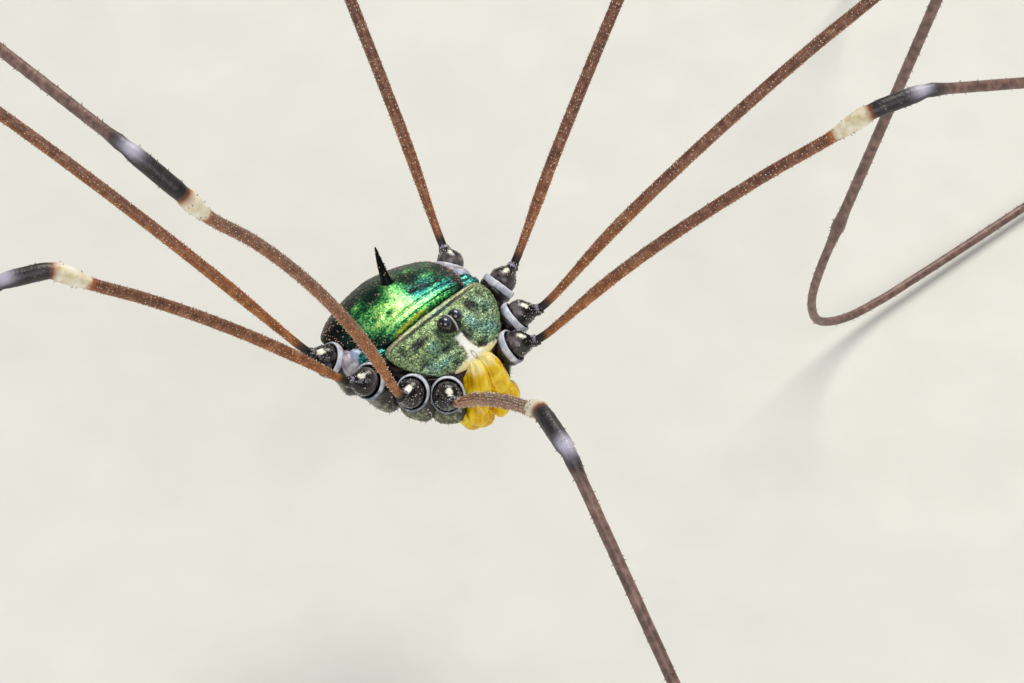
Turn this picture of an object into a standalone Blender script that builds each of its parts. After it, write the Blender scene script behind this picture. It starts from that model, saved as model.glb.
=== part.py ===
"""A metallic green harvestman (Opiliones, Sclerosomatidae), life size, standing on its eight legs.

The animal faces -Y, its left side is +X, and the floor is Z = 0.
Sizes below are in millimetres, and the scene is in metres.
"""

import math

import bmesh
import bpy
from mathutils import Matrix, Vector

MM = 0.001
GAP = 0.3                     # clearance between neighbouring pieces
STANCE_HEIGHT = 15.0          # the plane of the leg roots above the floor

# Body shell, as cross sections along the body: (y, half width, top, bottom)
CARAPACE_SECTIONS = [
    (-1.86, 0.95, 0.16, -0.02),
    (-1.60, 1.50, 0.29, 0.00),
    (-1.10, 2.12, 0.49, 0.10),
    (-0.50, 2.52, 0.81, 0.20),
    (0.05, 2.66, 0.96, 0.26),
    (0.50, 2.62, 0.96, 0.34),
]
SCUTUM_SECTIONS = [
    (0.82, 2.00, 0.93, 0.52),
    (1.10, 2.30, 1.04, 0.30),
    (1.60, 2.62, 1.12, 0.06),
    (2.20, 2.88, 1.12, -0.20),
    (2.82, 3.02, 1.00, -0.42),
    (3.34, 3.02, 0.77, -0.58),
    (3.80, 2.66, 0.46, -0.70),
    (4.13, 1.96, 0.16, -0.72),
    (4.31, 1.18, -0.13, -0.62),
]
STERNITE_SECTIONS = [
    (2.30, 0.62, -0.66, -1.96),
    (2.85, 1.26, -0.80, -1.88),
    (3.40, 1.70, -0.96, -1.70),
    (3.80, 1.36, -0.98, -1.46),
    (4.02, 0.70, -1.02, -1.26),
]
STERNUM_SECTIONS = [
    (-1.50, 0.26, -0.50, -1.70),
    (-1.00, 0.36, -0.28, -2.02),
    (0.60, 0.36, -0.10, -2.16),
    (1.98, 0.36, -0.50, -2.02),
]
BODY_SIDES = 24
SECTION_POWER = 0.95          # under 1, a section is a little squarer than an ellipse
SHIELD_RIM = 0.42             # height of a section's widest line, as a share of its depth
BACK_RIM = 0.20
BACK_PEAK = 1.2               # above 1, the back is a lens with a sharper rim
COXA_SIDES = 12

# Eye mound and eyes
EYE_RADIUS = 0.27
EYE_CENTRE = (0.30, -0.42, 1.18)
EYE_SOCKET_GAP = 0.10         # the eyes sit closer in their sockets than other pieces do
MOUND_RADII = (0.46, 0.42, 0.46)
MOUND_CENTRE = (0.0, -0.40, 0.92)

# The one spine of the back
SPINE_BASE = (0.0, 2.80, 0.92)
SPINE_TIP = (0.0, 3.46, 2.50)
SPINE_RADIUS = 0.25
SPINE_TIP_RADIUS = 0.05

# Chelicera: basal segment, hand with its fixed finger, then the other finger: (x, y, z, radius)
CHELICERA = [(0.45, -2.02, -0.47, 0.29), (0.53, -2.24, -0.84, 0.38), (0.63, -2.40, -1.22, 0.38),
             (0.79, -2.55, -1.56, 0.31), (0.93, -2.74, -1.90, 0.27), (1.02, -2.85, -2.12, 0.15)]
MOVING_FINGER = [(0.90, -2.78, -1.84, 0.13), (0.90, -2.90, -2.16, 0.07)]

# Pedipalp: lobe beside the mouth, femur, patella, tibia and tarsus
PEDIPALP = [(1.12, -1.98, -2.08, 0.19), (1.08, -2.20, -2.38, 0.24), (0.88, -2.38, -2.54, 0.24),
            (0.62, -2.50, -2.52, 0.23), (0.38, -2.54, -2.42, 0.15)]

# Leg roots: the trochanter's centre, and where its coxa leaves the sternum
TROCHANTERS = {1: (1.96, -2.09, -0.20), 2: (3.09, -1.23, 0.08), 3: (3.88, 0.37, 0.23), 4: (3.69, 2.95, -0.22)}
COXA_ROOTS = {1: (0.86, -1.20), 2: (0.98, -0.40), 3: (0.98, 0.50), 4: (0.92, 1.40)}
# Coxa sections: (share of the way to the trochanter, half width, top, bottom)
COXA_SECTIONS = [(0.00, 0.28, -0.86, -2.04), (0.35, 0.36, -0.62, -2.18), (0.66, 0.43, -0.46, -2.14),
                 (0.82, 0.45, -0.34, -2.02), (0.94, 0.36, -0.30, -1.78)]
COXA_WIDENING = {1: 1.10, 2: 1.15, 3: 1.40, 4: 1.50}   # how much wider each pair's outer end is
COXA_RING_RADIUS = 0.55
COXA_LIFT = 35.0                     # how far the coxa's outer end looks up, degrees
TROCHANTER_RADIUS = 0.50
TROCHANTER_NECK = 0.80               # from its centre to the femur's joint
NECK_RADIUS = 0.22

# Leg segments, by pair: femur, patella, tibia, metatarsus, tarsus
SEGMENT_LENGTHS = {
    1: (15.6, 2.3, 13.5, 17.0, 24.0),
    2: (19.4, 2.5, 16.1, 24.0, 36.0),
    3: (13.5, 2.0, 10.6, 13.5, 21.0),
    4: (18.0, 2.4, 14.5, 19.0, 28.0),
}
FEMUR_RADIUS = 0.25
KNEE_RADIUS = 0.33
TIBIA_RADIUS = 0.25
TARSUS_TIP_RADIUS = 0.12
SWELLING = 1.3                       # length of the thicker end of femur and tibia
LEG_SIDES = 8
TARSUS_SIDES = 6
TARSUS_CURVE = 0.62                  # share of the tarsus that bends down to the floor
TARSUS_STEPS = 9

# Direction of the trochanter's cone: (turn, lift), measured as in POSES
TROCHANTER_AIMS = {
    "left_1": (48.8, 7.2),
    "left_2": (50.8, 9.3),
    "left_3": (97.5, 14.5),
    "left_4": (151.3, 8.1),
    "right_1": (25.6, 22.5),
    "right_2": (76.5, 32.0),
    "right_3": (113.1, 23.2),
    "right_4": (124.0, 38.0),
}

# How far the middle of a femur arches above the straight line between its joints
FEMUR_ARCH = {"left_1": 0.42, "left_2": 0.45, "left_3": 0.15, "left_4": 0.1,
              "right_1": 0.2, "right_2": 0.75, "right_3": 0.38, "right_4": 0.25}
# Share of a metatarsus over which it curves away from the line of the tibia
METATARSUS_CURVE = {"left_2": 0.62}
METATARSUS_STEPS = 10

# Pose: (turn, lift) of femur and tibia, then the turns of metatarsus and tarsus, degrees.
# A turn of 0 points forward, 90 straight out to the leg's own side, and 180 back.
POSES = {
    "left_1": ((53.4, 36.8), (72.0, -20.5), 62.0, 54.0),
    "left_2": ((69.2, 35.0), (205.3, -76.3), 84.0, 92.0),
    "left_3": ((106.8, 31.0), (104.0, -34.0), 108.0, 112.0),
    "left_4": ((161.0, 40.5), (156.0, -34.0), 152.0, 148.0),
    "right_1": ((32.0, 44.2), (15.4, -39.4), 22.0, 30.0),
    "right_2": ((94.8, 60.1), (184.6, 0.0), 138.0, 128.0),
    "right_3": ((124.4, 38.2), (118.0, -44.0), 112.0, 104.0),
    "right_4": ((157.8, 34.6), (154.0, -34.0), 158.0, 162.0),
}


def clear_scene():
    for item in list(bpy.data.objects):
        bpy.data.objects.remove(item, do_unlink=True)


def material(name, color, roughness, metallic=0.0):
    """A Principled material for one kind of surface."""
    made = bpy.data.materials.new(name)
    made.use_nodes = True
    shader = made.node_tree.nodes["Principled BSDF"]
    shader.inputs["Base Color"].default_value = (*color, 1.0)
    shader.inputs["Roughness"].default_value = roughness
    shader.inputs["Metallic"].default_value = metallic
    return made


def finish_mesh(bm, name):
    """Turns the mesh outward, scales it to metres and makes a smooth-shaded object of it."""
    bmesh.ops.recalc_face_normals(bm, faces=bm.faces)
    bmesh.ops.scale(bm, vec=(MM, MM, MM), verts=bm.verts)
    mesh = bpy.data.meshes.new(name)
    bm.to_mesh(mesh)
    bm.free()
    mesh.shade_smooth()
    mesh.set_sharp_from_angle(angle=math.radians(40))
    item = bpy.data.objects.new(name, mesh)
    bpy.context.scene.collection.objects.link(item)
    return item


def skin_rings(bm, rings):
    """Joins closed rings of points one after another and caps both ends."""
    loops = [[bm.verts.new(point) for point in ring] for ring in rings]
    count = len(loops[0])
    for lower, upper in zip(loops, loops[1:]):
        for i in range(count):
            j = (i + 1) % count
            bm.faces.new((lower[i], lower[j], upper[j], upper[i]))
    bm.faces.new(reversed(loops[0]))
    bm.faces.new(loops[-1])
    bmesh.ops.triangulate(bm, faces=bm.faces)


def body_shell(name, sections, rim_share=SHIELD_RIM, peak=0.9):
    """A shell lofted along Y through rounded sections that are widest low down on their sides."""
    bm = bmesh.new()
    rings = []
    for y, half_width, top, bottom in sections:
        rim = bottom + rim_share * (top - bottom)
        ring = []
        for i in range(BODY_SIDES):
            angle = 2 * math.pi * (i + 0.5) / BODY_SIDES
            c, s = math.cos(angle), math.sin(angle)
            x = half_width * math.copysign(abs(c) ** SECTION_POWER, c)
            reach = top - rim if s > 0 else rim - bottom
            ring.append(Vector((x, y, rim + reach * math.copysign(abs(s) ** peak, s))))
        rings.append(ring)
    skin_rings(bm, rings)
    return finish_mesh(bm, name)


def frame_along(direction):
    """A side vector and an up vector square to a direction, the side one level."""
    side = direction.cross(Vector((0, 0, 1)))
    if side.length < 1e-6:
        side = Vector((1, 0, 0))
    side.normalize()
    return side, side.cross(direction).normalized()


def limb(name, path, sides=LEG_SIDES, tall=1.0):
    """A round limb through points (x, y, z, radius) with domed ends."""
    points = [Vector(p[:3]) for p in path]
    radii = [p[3] for p in path]
    headings = []
    for i in range(len(points)):
        ahead = points[min(i + 1, len(points) - 1)]
        behind = points[max(i - 1, 0)]
        headings.append((ahead - behind).normalized())
    stations = [(points[0] - headings[0] * radii[0] * 0.35, headings[0], radii[0] * 0.62)]
    stations += list(zip(points, headings, radii))
    stations.append((points[-1] + headings[-1] * radii[-1] * 0.35, headings[-1], radii[-1] * 0.62))
    bm = bmesh.new()
    rings = []
    for centre, heading, radius in stations:
        side, up = frame_along(heading)
        ring = []
        for i in range(sides):
            angle = 2 * math.pi * (i + 0.5) / sides
            ring.append(centre + side * radius * math.cos(angle) + up * radius * tall * math.sin(angle))
        rings.append(ring)
    skin_rings(bm, rings)
    return finish_mesh(bm, name)


def ball(name, centre, radii, segments=16, rings=10):
    """An ellipsoid."""
    bm = bmesh.new()
    bmesh.ops.create_uvsphere(bm, u_segments=segments, v_segments=rings, radius=1.0)
    placed = Matrix.Translation(centre) @ Matrix.Diagonal((*radii, 1.0))
    bmesh.ops.transform(bm, matrix=placed, verts=bm.verts)
    bmesh.ops.triangulate(bm, faces=bm.faces)
    return finish_mesh(bm, name)


def boolean(target, others, operation, solver="EXACT"):
    """Joins other pieces to the target, or cuts them from it, and removes them."""
    group = bpy.data.collections.new(target.name + "_tools")
    bpy.context.scene.collection.children.link(group)
    for item in others:
        group.objects.link(item)
    step = target.modifiers.new("join", "BOOLEAN")
    step.operation = operation
    step.operand_type = "COLLECTION"
    step.collection = group
    step.solver = solver
    graph = bpy.context.evaluated_depsgraph_get()
    merged = bpy.data.meshes.new_from_object(target.evaluated_get(graph))
    target.modifiers.clear()
    target.data = merged
    for item in others:
        bpy.data.objects.remove(item, do_unlink=True)
    bpy.data.collections.remove(group)
    keep_largest(target)
    return target


def keep_largest(item):
    """Keeps only the largest closed surface of a mesh."""
    bm = bmesh.new()
    bm.from_mesh(item.data)
    bmesh.ops.remove_doubles(bm, verts=bm.verts, dist=1e-7)
    bmesh.ops.triangulate(bm, faces=bm.faces)
    left = set(bm.verts)
    shells = []
    while left:
        shell = set()
        queue = [left.pop()]
        while queue:
            vert = queue.pop()
            shell.add(vert)
            for edge in vert.link_edges:
                other = edge.other_vert(vert)
                if other in left:
                    left.discard(other)
                    queue.append(other)
        shells.append(shell)
    shells.sort(key=len, reverse=True)
    for shell in shells[1:]:
        bmesh.ops.delete(bm, geom=list(shell), context="VERTS")
    bm.to_mesh(item.data)
    bm.free()


def dress(item, finish):
    item.data.materials.clear()
    item.data.materials.append(finish)


def mirrored(path, side):
    """The same points on the animal's left (side 1) or right (side -1)."""
    return [(side * p[0], *p[1:]) for p in path]


def heading_of(side, turn, lift):
    """A unit vector from a turn away from straight ahead and a lift above level."""
    flat = math.cos(math.radians(lift))
    across = side * math.sin(math.radians(turn))
    return Vector((across * flat, -math.cos(math.radians(turn)) * flat, math.sin(math.radians(lift))))


def build_carapace(shell_green):
    """The shield over the front of the body, with the eye mound and its two sockets."""
    carapace = body_shell("carapace", CARAPACE_SECTIONS)
    mound = ball("mound", MOUND_CENTRE, MOUND_RADII)
    boolean(carapace, [mound], "UNION")
    socket = EYE_RADIUS + EYE_SOCKET_GAP
    sockets = []
    for side in (1, -1):
        centre = (side * EYE_CENTRE[0], *EYE_CENTRE[1:])
        sockets.append(ball("socket", centre, (socket,) * 3))
    boolean(carapace, sockets, "DIFFERENCE")
    dress(carapace, shell_green)


def build_eyes(eye_black):
    for side, word in ((1, "left"), (-1, "right")):
        centre = (side * EYE_CENTRE[0], *EYE_CENTRE[1:])
        eye = ball("eye_" + word, centre, (EYE_RADIUS,) * 3)
        dress(eye, eye_black)


def build_abdomen(shell_green, belly_grey):
    """The domed back with its spine, the sternites below it, and the sternum between the coxae."""
    scutum = body_shell("scutum", SCUTUM_SECTIONS, BACK_RIM, BACK_PEAK)
    spine = limb("spine", [(*SPINE_BASE, SPINE_RADIUS), (*SPINE_TIP, SPINE_TIP_RADIUS)])
    boolean(scutum, [spine], "UNION")
    dress(scutum, shell_green)
    dress(body_shell("sternites", STERNITE_SECTIONS), belly_grey)
    dress(body_shell("sternum", STERNUM_SECTIONS), belly_grey)


def build_mouthparts(mouth_yellow):
    for side, word in ((1, "left"), (-1, "right")):
        chelicera = limb("chelicera_" + word, mirrored(CHELICERA, side), 10)
        boolean(chelicera, [limb("finger", mirrored(MOVING_FINGER, side), 6)], "UNION")
        dress(chelicera, mouth_yellow)
        dress(limb("pedipalp_" + word, mirrored(PEDIPALP, side), 8), mouth_yellow)


def arched(start, end, rise, radius):
    """Stations after the start, bowed upward, up to and including the end."""
    heading = (end - start).normalized()
    up = frame_along(heading)[1]
    path = []
    for share in (0.2, 0.4, 0.6, 0.8, 1.0):
        place = start.lerp(end, share) + up * rise * 4 * share * (1 - share)
        path.append((*place, radius))
    return path


def build_coxa(name, side, pair, joint):
    """The tall plate from the sternum out to the trochanter, and the axis of its open ring."""
    root_x, root_y = COXA_ROOTS[pair]
    root = Vector((side * root_x, root_y, 0))
    target = Vector((joint.x, joint.y, 0))
    outward = (target - root).normalized()
    across = Vector((-outward.y, outward.x, 0))
    rings = []
    for share, half_width, top, bottom in COXA_SECTIONS:
        half_width *= COXA_WIDENING[pair] ** share
        centre = root.lerp(target, share)
        middle = (top + bottom) / 2 + joint.z * share
        half = (top - bottom) / 2
        ring = []
        for i in range(COXA_SIDES):
            angle = 2 * math.pi * (i + 0.5) / COXA_SIDES
            point = centre + across * half_width * math.cos(angle)
            point.z = middle + half * math.sin(angle)
            ring.append(point)
        rings.append(ring)
    bm = bmesh.new()
    skin_rings(bm, rings)
    lift = math.radians(COXA_LIFT)
    return finish_mesh(bm, name), outward * math.cos(lift) + Vector((0, 0, math.sin(lift)))


def build_leg(side, word, pair, finishes):
    """One leg from its coxa to the foot that lies flat on the floor."""
    label = f"{word}_{pair}"
    femur_pose, tibia_pose, metatarsus_turn, tarsus_turn = POSES[label]
    lengths = SEGMENT_LENGTHS[pair]
    joint = Vector(TROCHANTERS[pair])
    joint.x *= side
    femur_heading = heading_of(side, *femur_pose)
    tibia_heading = heading_of(side, *tibia_pose)

    coxa, ring_axis = build_coxa(f"coxa_{label}", side, pair, joint)
    collar_root = joint - ring_axis * 0.95
    collar_mouth = joint - ring_axis * 0.28
    collar = limb("collar", [(*collar_root, 0.40), (*collar_mouth, COXA_RING_RADIUS)], 12)
    globe = ball("globe", joint, (TROCHANTER_RADIUS,) * 3, 14, 9)
    neck_end = joint + heading_of(side, *TROCHANTER_AIMS[label]) * TROCHANTER_NECK
    neck = limb("neck", [(*joint, 0.44), (*neck_end, NECK_RADIUS)], 10)
    boolean(coxa, [collar, globe, neck], "UNION")
    dress(coxa, finishes["coxa"])

    knee_heading = (femur_heading + tibia_heading).normalized()
    start = neck_end + femur_heading * (NECK_RADIUS * 0.35 + GAP / 2)
    headings = [femur_heading, knee_heading, tibia_heading]
    names = ["femur", "patella", "tibia"]
    bulges = [(FEMUR_RADIUS, KNEE_RADIUS), (KNEE_RADIUS, 0.30), (TIBIA_RADIUS, 0.28)]
    for name, heading, length, (near, far) in zip(names, headings, lengths, bulges):
        end = start + heading * length
        first = start + heading * (GAP / 2 + near * 0.35)
        last = end - heading * (GAP / 2 + far * 0.35)
        path = [(*first, near)]
        if name == "femur":
            path += arched(first, last - heading * SWELLING, FEMUR_ARCH[label], near)
        if name == "tibia":
            path.append((*(last - heading * SWELLING), near))
        path.append((*last, far))
        dress(limb(f"{name}_{label}", path), finishes[name])
        start = end

    curve = METATARSUS_CURVE.get(label, 0.0)
    low, high = 0.01, math.radians(88)
    for _ in range(50):
        slope = (low + high) / 2
        heading = heading_of(side, metatarsus_turn, -math.degrees(slope))
        points = eased_line(start, tibia_heading, heading, lengths[3], curve)
        foot = points[-1].z - bend_drop(lengths[4] * TARSUS_CURVE, slope) + STANCE_HEIGHT
        if foot > TIBIA_RADIUS:
            low = slope
        else:
            high = slope
    end = points[-1].copy()
    trim = GAP / 2 + TIBIA_RADIUS * 0.35
    points[0] += (points[1] - points[0]).normalized() * trim
    points[-1] -= heading * trim
    path = [(*point, TIBIA_RADIUS) for point in points]
    dress(limb(f"metatarsus_{label}", path, TARSUS_SIDES), finishes["metatarsus"])
    dress(build_tarsus(f"tarsus_{label}", end, slope, side, metatarsus_turn, tarsus_turn, lengths[4]),
          finishes["tarsus"])


def eased_line(start, heading_from, heading_to, length, curve):
    """Points along a segment that swings from one heading to another over its first share."""
    if not curve:
        return [start.copy(), start + heading_to * length]
    points = [start.copy()]
    for i in range(METATARSUS_STEPS):
        share = min(1.0, (i + 0.5) / METATARSUS_STEPS / curve)
        blend = share * share * (3 - 2 * share)
        heading = heading_from.lerp(heading_to, blend).normalized()
        points.append(points[-1] + heading * length / METATARSUS_STEPS)
    return points


def bend_drop(length, slope):
    """How far a limb falls over a length while its slope eases evenly to level."""
    return length * (1 - math.cos(slope)) / slope


def build_tarsus(name, start, slope, side, turn_from, turn_to, length):
    """The foot: it bends down to the floor, then lies along it on a flat underside."""
    step = (length - GAP / 2) / (TARSUS_STEPS * 4)
    turn = math.radians(turn_from)
    place = Vector((start.x, start.y, 0))
    height = start.z + STANCE_HEIGHT
    bend = length * TARSUS_CURVE
    floor_flat = math.cos(math.pi / TARSUS_SIDES)
    rings = []
    for i in range(TARSUS_STEPS * 4 + 1):
        run = GAP / 2 + i * step
        share = run / length
        angle = slope * max(0.0, 1 - run / bend)
        turn = math.radians(turn_from + (turn_to - turn_from) * share)
        ahead = Vector((side * math.sin(turn), -math.cos(turn), 0))
        place += ahead * math.cos(angle) * (step if i else GAP / 2)
        height -= math.sin(angle) * (step if i else GAP / 2)
        if i % 4:
            continue
        radius = TIBIA_RADIUS + (TARSUS_TIP_RADIUS - TIBIA_RADIUS) * share ** 1.5
        centre = place.copy()
        resting = radius * floor_flat
        centre.z = (max(height, resting) if run < bend else resting) - STANCE_HEIGHT
        across = Vector((-ahead.y, ahead.x, 0))
        up = ahead * math.sin(angle) + Vector((0, 0, math.cos(angle)))
        ring = []
        for k in range(TARSUS_SIDES):
            around = 2 * math.pi * k / TARSUS_SIDES
            ring.append(centre + across * radius * math.cos(around) + up * radius * math.sin(around))
        rings.append(ring)
    bm = bmesh.new()
    skin_rings(bm, rings)
    return finish_mesh(bm, name)


def stand_on_floor():
    """Hangs every piece on one empty that centres the stance over the origin."""
    corners = []
    for item in bpy.data.objects:
        corners += [vert.co for vert in item.data.vertices]
    lows = [min(c[axis] for c in corners) for axis in range(3)]
    highs = [max(c[axis] for c in corners) for axis in range(3)]
    stance = bpy.data.objects.new("stance", None)
    bpy.context.scene.collection.objects.link(stance)
    for item in list(bpy.data.objects):
        if item.type == "MESH":
            item.parent = stance
    stance.location = (-(lows[0] + highs[0]) / 2, -(lows[1] + highs[1]) / 2, -lows[2])


def main():
    clear_scene()
    shell_green = material("metallic_cuticle_green", (0.05, 0.30, 0.14), 0.3, 0.6)
    eye_black = material("cornea_black", (0.01, 0.01, 0.012), 0.08)
    mouth_yellow = material("soft_cuticle_yellow", (0.80, 0.44, 0.02), 0.35)
    belly_grey = material("cuticle_grey_green", (0.10, 0.12, 0.09), 0.45)
    finishes = {
        "coxa": material("cuticle_black", (0.02, 0.016, 0.018), 0.2),
        "femur": material("cuticle_orange_brown", (0.25, 0.07, 0.02), 0.45),
        "patella": material("cuticle_dark_grey", (0.04, 0.035, 0.04), 0.35),
        "tibia": material("cuticle_mauve_brown", (0.15, 0.08, 0.06), 0.45),
    }
    finishes["metatarsus"] = finishes["tibia"]
    finishes["tarsus"] = finishes["tibia"]
    build_carapace(shell_green)
    build_eyes(eye_black)
    build_abdomen(shell_green, belly_grey)
    build_mouthparts(mouth_yellow)
    for side, word in ((1, "left"), (-1, "right")):
        for pair in (1, 2, 3, 4):
            build_leg(side, word, pair, finishes)
    stand_on_floor()


main()
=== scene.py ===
import math
import random

import bpy
import numpy as np
from mathutils import Matrix, Vector, noise


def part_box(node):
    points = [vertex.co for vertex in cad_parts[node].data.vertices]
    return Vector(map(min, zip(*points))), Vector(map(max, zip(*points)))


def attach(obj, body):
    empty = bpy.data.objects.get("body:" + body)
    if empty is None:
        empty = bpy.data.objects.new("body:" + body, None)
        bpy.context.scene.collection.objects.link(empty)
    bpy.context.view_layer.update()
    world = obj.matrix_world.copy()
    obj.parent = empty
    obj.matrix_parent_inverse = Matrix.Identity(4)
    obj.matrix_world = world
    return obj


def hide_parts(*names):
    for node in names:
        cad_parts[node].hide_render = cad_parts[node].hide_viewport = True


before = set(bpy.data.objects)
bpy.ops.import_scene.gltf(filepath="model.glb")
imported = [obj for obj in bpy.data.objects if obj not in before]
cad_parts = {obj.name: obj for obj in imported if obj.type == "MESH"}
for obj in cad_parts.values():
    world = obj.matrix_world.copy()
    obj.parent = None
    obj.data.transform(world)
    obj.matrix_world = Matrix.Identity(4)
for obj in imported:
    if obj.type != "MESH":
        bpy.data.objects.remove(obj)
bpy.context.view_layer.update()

# The room.
# A pale matt studio floor and soft lamps round the model. The camera looks down on it over
# its right front side, as the photograph does: the animal faces -Y and its left side is +X.
MM = 0.001
FLOOR_WIDTH = 3.0                     # m
EYE_MIDDLE = (0.0, -0.42, 1.18)       # between the two eyes, in the body's own frame, mm
CAMERA_BACK = Vector((-0.521, -0.466, 0.7155))
CAMERA_RIGHT = Vector((0.6665, -0.7455, 0.0))
CAMERA_ROLL = math.radians(0.3)
CAMERA_DISTANCE = 180.0               # mm from the body
FRAME_WIDTH, FRAME_HEIGHT = 1024, 683
BODY_PX = (442.2, 336.2)              # where the body's origin shows in the photograph
PX_PER_MM = 26.0
SENSOR = 36.0
LAMP_DISTANCE = 1000.0                # mm
# (direction from the body, size mm, watts, tint)
LAMPS = [((0.56, 0.22, 0.80), 620.0, 8.4, "#fffaf0"), ((-0.40, -0.62, 0.68), 760.0, 4.6, "#fbfaf8"),
         ((-0.80, 0.42, 0.40), 600.0, 1.8, "#f0f4ff")]
WALL_LIGHT = 0.24


def middle_of(*nodes):
    """The middle of the boxes of some nodes, in metres."""
    total = Vector((0, 0, 0))
    for name in nodes:
        low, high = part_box(name)
        total += (low + high) / 2
    return total / len(nodes)


BODY = middle_of("eye_left", "eye_right") - Vector(EYE_MIDDLE) * MM


def linear(code):
    """An sRGB hex value as linear red, green, blue and alpha."""
    parts = [int(code[i:i + 2], 16) / 255 for i in (1, 3, 5)]
    return [p / 12.92 if p <= 0.04045 else ((p + 0.055) / 1.055) ** 2.4 for p in parts] + [1.0]


def add_node(finish, kind, settings, stops=(), out=0):
    """Adds one shader node, sets or links what its settings name, and gives one of its outputs."""
    made = finish.node_tree.nodes.new("ShaderNode" + kind)
    for name, value in settings.items():
        if isinstance(value, bpy.types.NodeSocket):
            finish.node_tree.links.new(value, made.inputs[name])
        elif isinstance(name, str) and hasattr(made, name):
            setattr(made, name, value)
        else:
            made.inputs[name].default_value = value
    if stops:
        ramp = made.color_ramp
        while len(ramp.elements) < len(stops):
            ramp.elements.new(0.5)
        for element, (place, code) in zip(ramp.elements, stops):
            element.position = place
            element.color = linear(code)
    return made.outputs[out]


def new_finish(name, **sockets):
    """An empty material with a Principled shader whose plain sockets are set, and that shader."""
    finish = bpy.data.materials.new(name)
    finish.use_nodes = True
    shader = finish.node_tree.nodes["Principled BSDF"]
    for socket, value in sockets.items():
        shader.inputs[socket.replace("_", " ")].default_value = value
    return finish, shader


def join(shader, sources):
    """Links sockets to a shader's inputs."""
    for socket, source in sources.items():
        shader.id_data.links.new(source, shader.inputs[socket])


def per_mm(size):
    """A texture scale that makes one cell of a pattern that many millimetres."""
    return 1000.0 / size


bpy.ops.mesh.primitive_plane_add(size=FLOOR_WIDTH, location=(0, 0, 0))
floor = bpy.context.object
floor.name = "studio_floor"
matt_paper, paper_shader = new_finish("paper_matt_backdrop", Roughness=0.9)
place = add_node(matt_paper, "TexCoord", {}, out="Object")
# paper tooth is about 0.5 mm, and is drawn at 4 mm so that it shows as a faint tone
tooth = add_node(matt_paper, "TexNoise", {"Scale": per_mm(4.0), "Detail": 3.0, "Vector": place})
paper_tone = add_node(matt_paper, "ValToRGB", {"Fac": tooth}, [(0.3, "#dcdcd6"), (0.7, "#e2e2dc")])
join(paper_shader, {"Base Color": paper_tone})
floor.data.materials.append(matt_paper)

for number, (aim, size, watts, tint) in enumerate(LAMPS):
    lamp = bpy.data.lights.new(f"lamp_{number}", "AREA")
    lamp.shape = "DISK"
    lamp.size = size * MM
    lamp.energy = watts
    lamp.color = linear(tint)[:3]
    holder = bpy.data.objects.new(f"lamp_{number}", lamp)
    toward = Vector(aim).normalized()
    holder.location = BODY + toward * LAMP_DISTANCE * MM
    holder.rotation_euler = (-toward).to_track_quat("-Z", "Y").to_euler()
    bpy.context.scene.collection.objects.link(holder)

walls = bpy.data.worlds.new("studio_walls")
walls.use_nodes = True
walls.node_tree.nodes["Background"].inputs["Color"].default_value = linear("#e8ecf0")
walls.node_tree.nodes["Background"].inputs["Strength"].default_value = WALL_LIGHT
bpy.context.scene.world = walls
bpy.context.scene.view_settings.view_transform = "Standard"

level_up = CAMERA_BACK.cross(CAMERA_RIGHT).normalized()
right = CAMERA_RIGHT * math.cos(CAMERA_ROLL) + level_up * math.sin(CAMERA_ROLL)
up = -CAMERA_RIGHT * math.sin(CAMERA_ROLL) + level_up * math.cos(CAMERA_ROLL)
aside = (BODY_PX[0] - FRAME_WIDTH / 2) / PX_PER_MM
above = -(BODY_PX[1] - FRAME_HEIGHT / 2) / PX_PER_MM
camera = bpy.data.objects.new("camera", bpy.data.cameras.new("camera"))
stance = Matrix((right, up, CAMERA_BACK)).transposed().to_4x4()
stance.translation = BODY + (CAMERA_BACK * CAMERA_DISTANCE - right * aside - up * above) * MM
camera.matrix_world = stance
camera.data.sensor_width = SENSOR
camera.data.lens = SENSOR * CAMERA_DISTANCE / (FRAME_WIDTH / PX_PER_MM)
camera.data.clip_start = MM
bpy.context.scene.collection.objects.link(camera)
bpy.context.scene.camera = camera

# The scutum: the domed back plate with its one spine.
# Hard cuticle whose thin layers reflect green, grown in one piece over the hind body. Its front
# edge is a raised lip, and small tan granules stand on its darker sides and rear.
SCUTUM_SECTIONS = [                   # (y, half width, top, bottom), mm in the body's frame
    (0.72, 1.72, 0.84, 0.52), (0.80, 2.00, 0.94, 0.45), (1.10, 2.36, 1.05, 0.30),
    (1.60, 2.66, 1.13, 0.06), (2.20, 2.90, 1.13, -0.20), (2.82, 3.03, 1.01, -0.42),
    (3.34, 3.03, 0.78, -0.58), (3.80, 2.67, 0.47, -0.70), (4.13, 1.97, 0.17, -0.72),
    (4.31, 1.19, -0.12, -0.62), (4.38, 0.40, -0.30, -0.50)]
SECTION_POWER = 0.95                  # under 1, a section is squarer than an ellipse
SCUTUM_RIM, SCUTUM_PEAK = 0.20, 1.2
SCUTUM_ROWS, SCUTUM_COLUMNS = 190, 300
SPINE_BASE, SPINE_TIP = np.array((0.0, 2.78, 0.86)), np.array((0.0, 3.46, 2.52))
SPINE_WIDE, SPINE_FINE = 0.20, 0.025
SPINE_ROWS, SPINE_COLUMNS = 40, 20
SPINE_KNOBS = 46
TRANSVERSE_LINE = 0.97                # y of the fine groove behind the front lip
GRANULE_COUNT = 320
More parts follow.
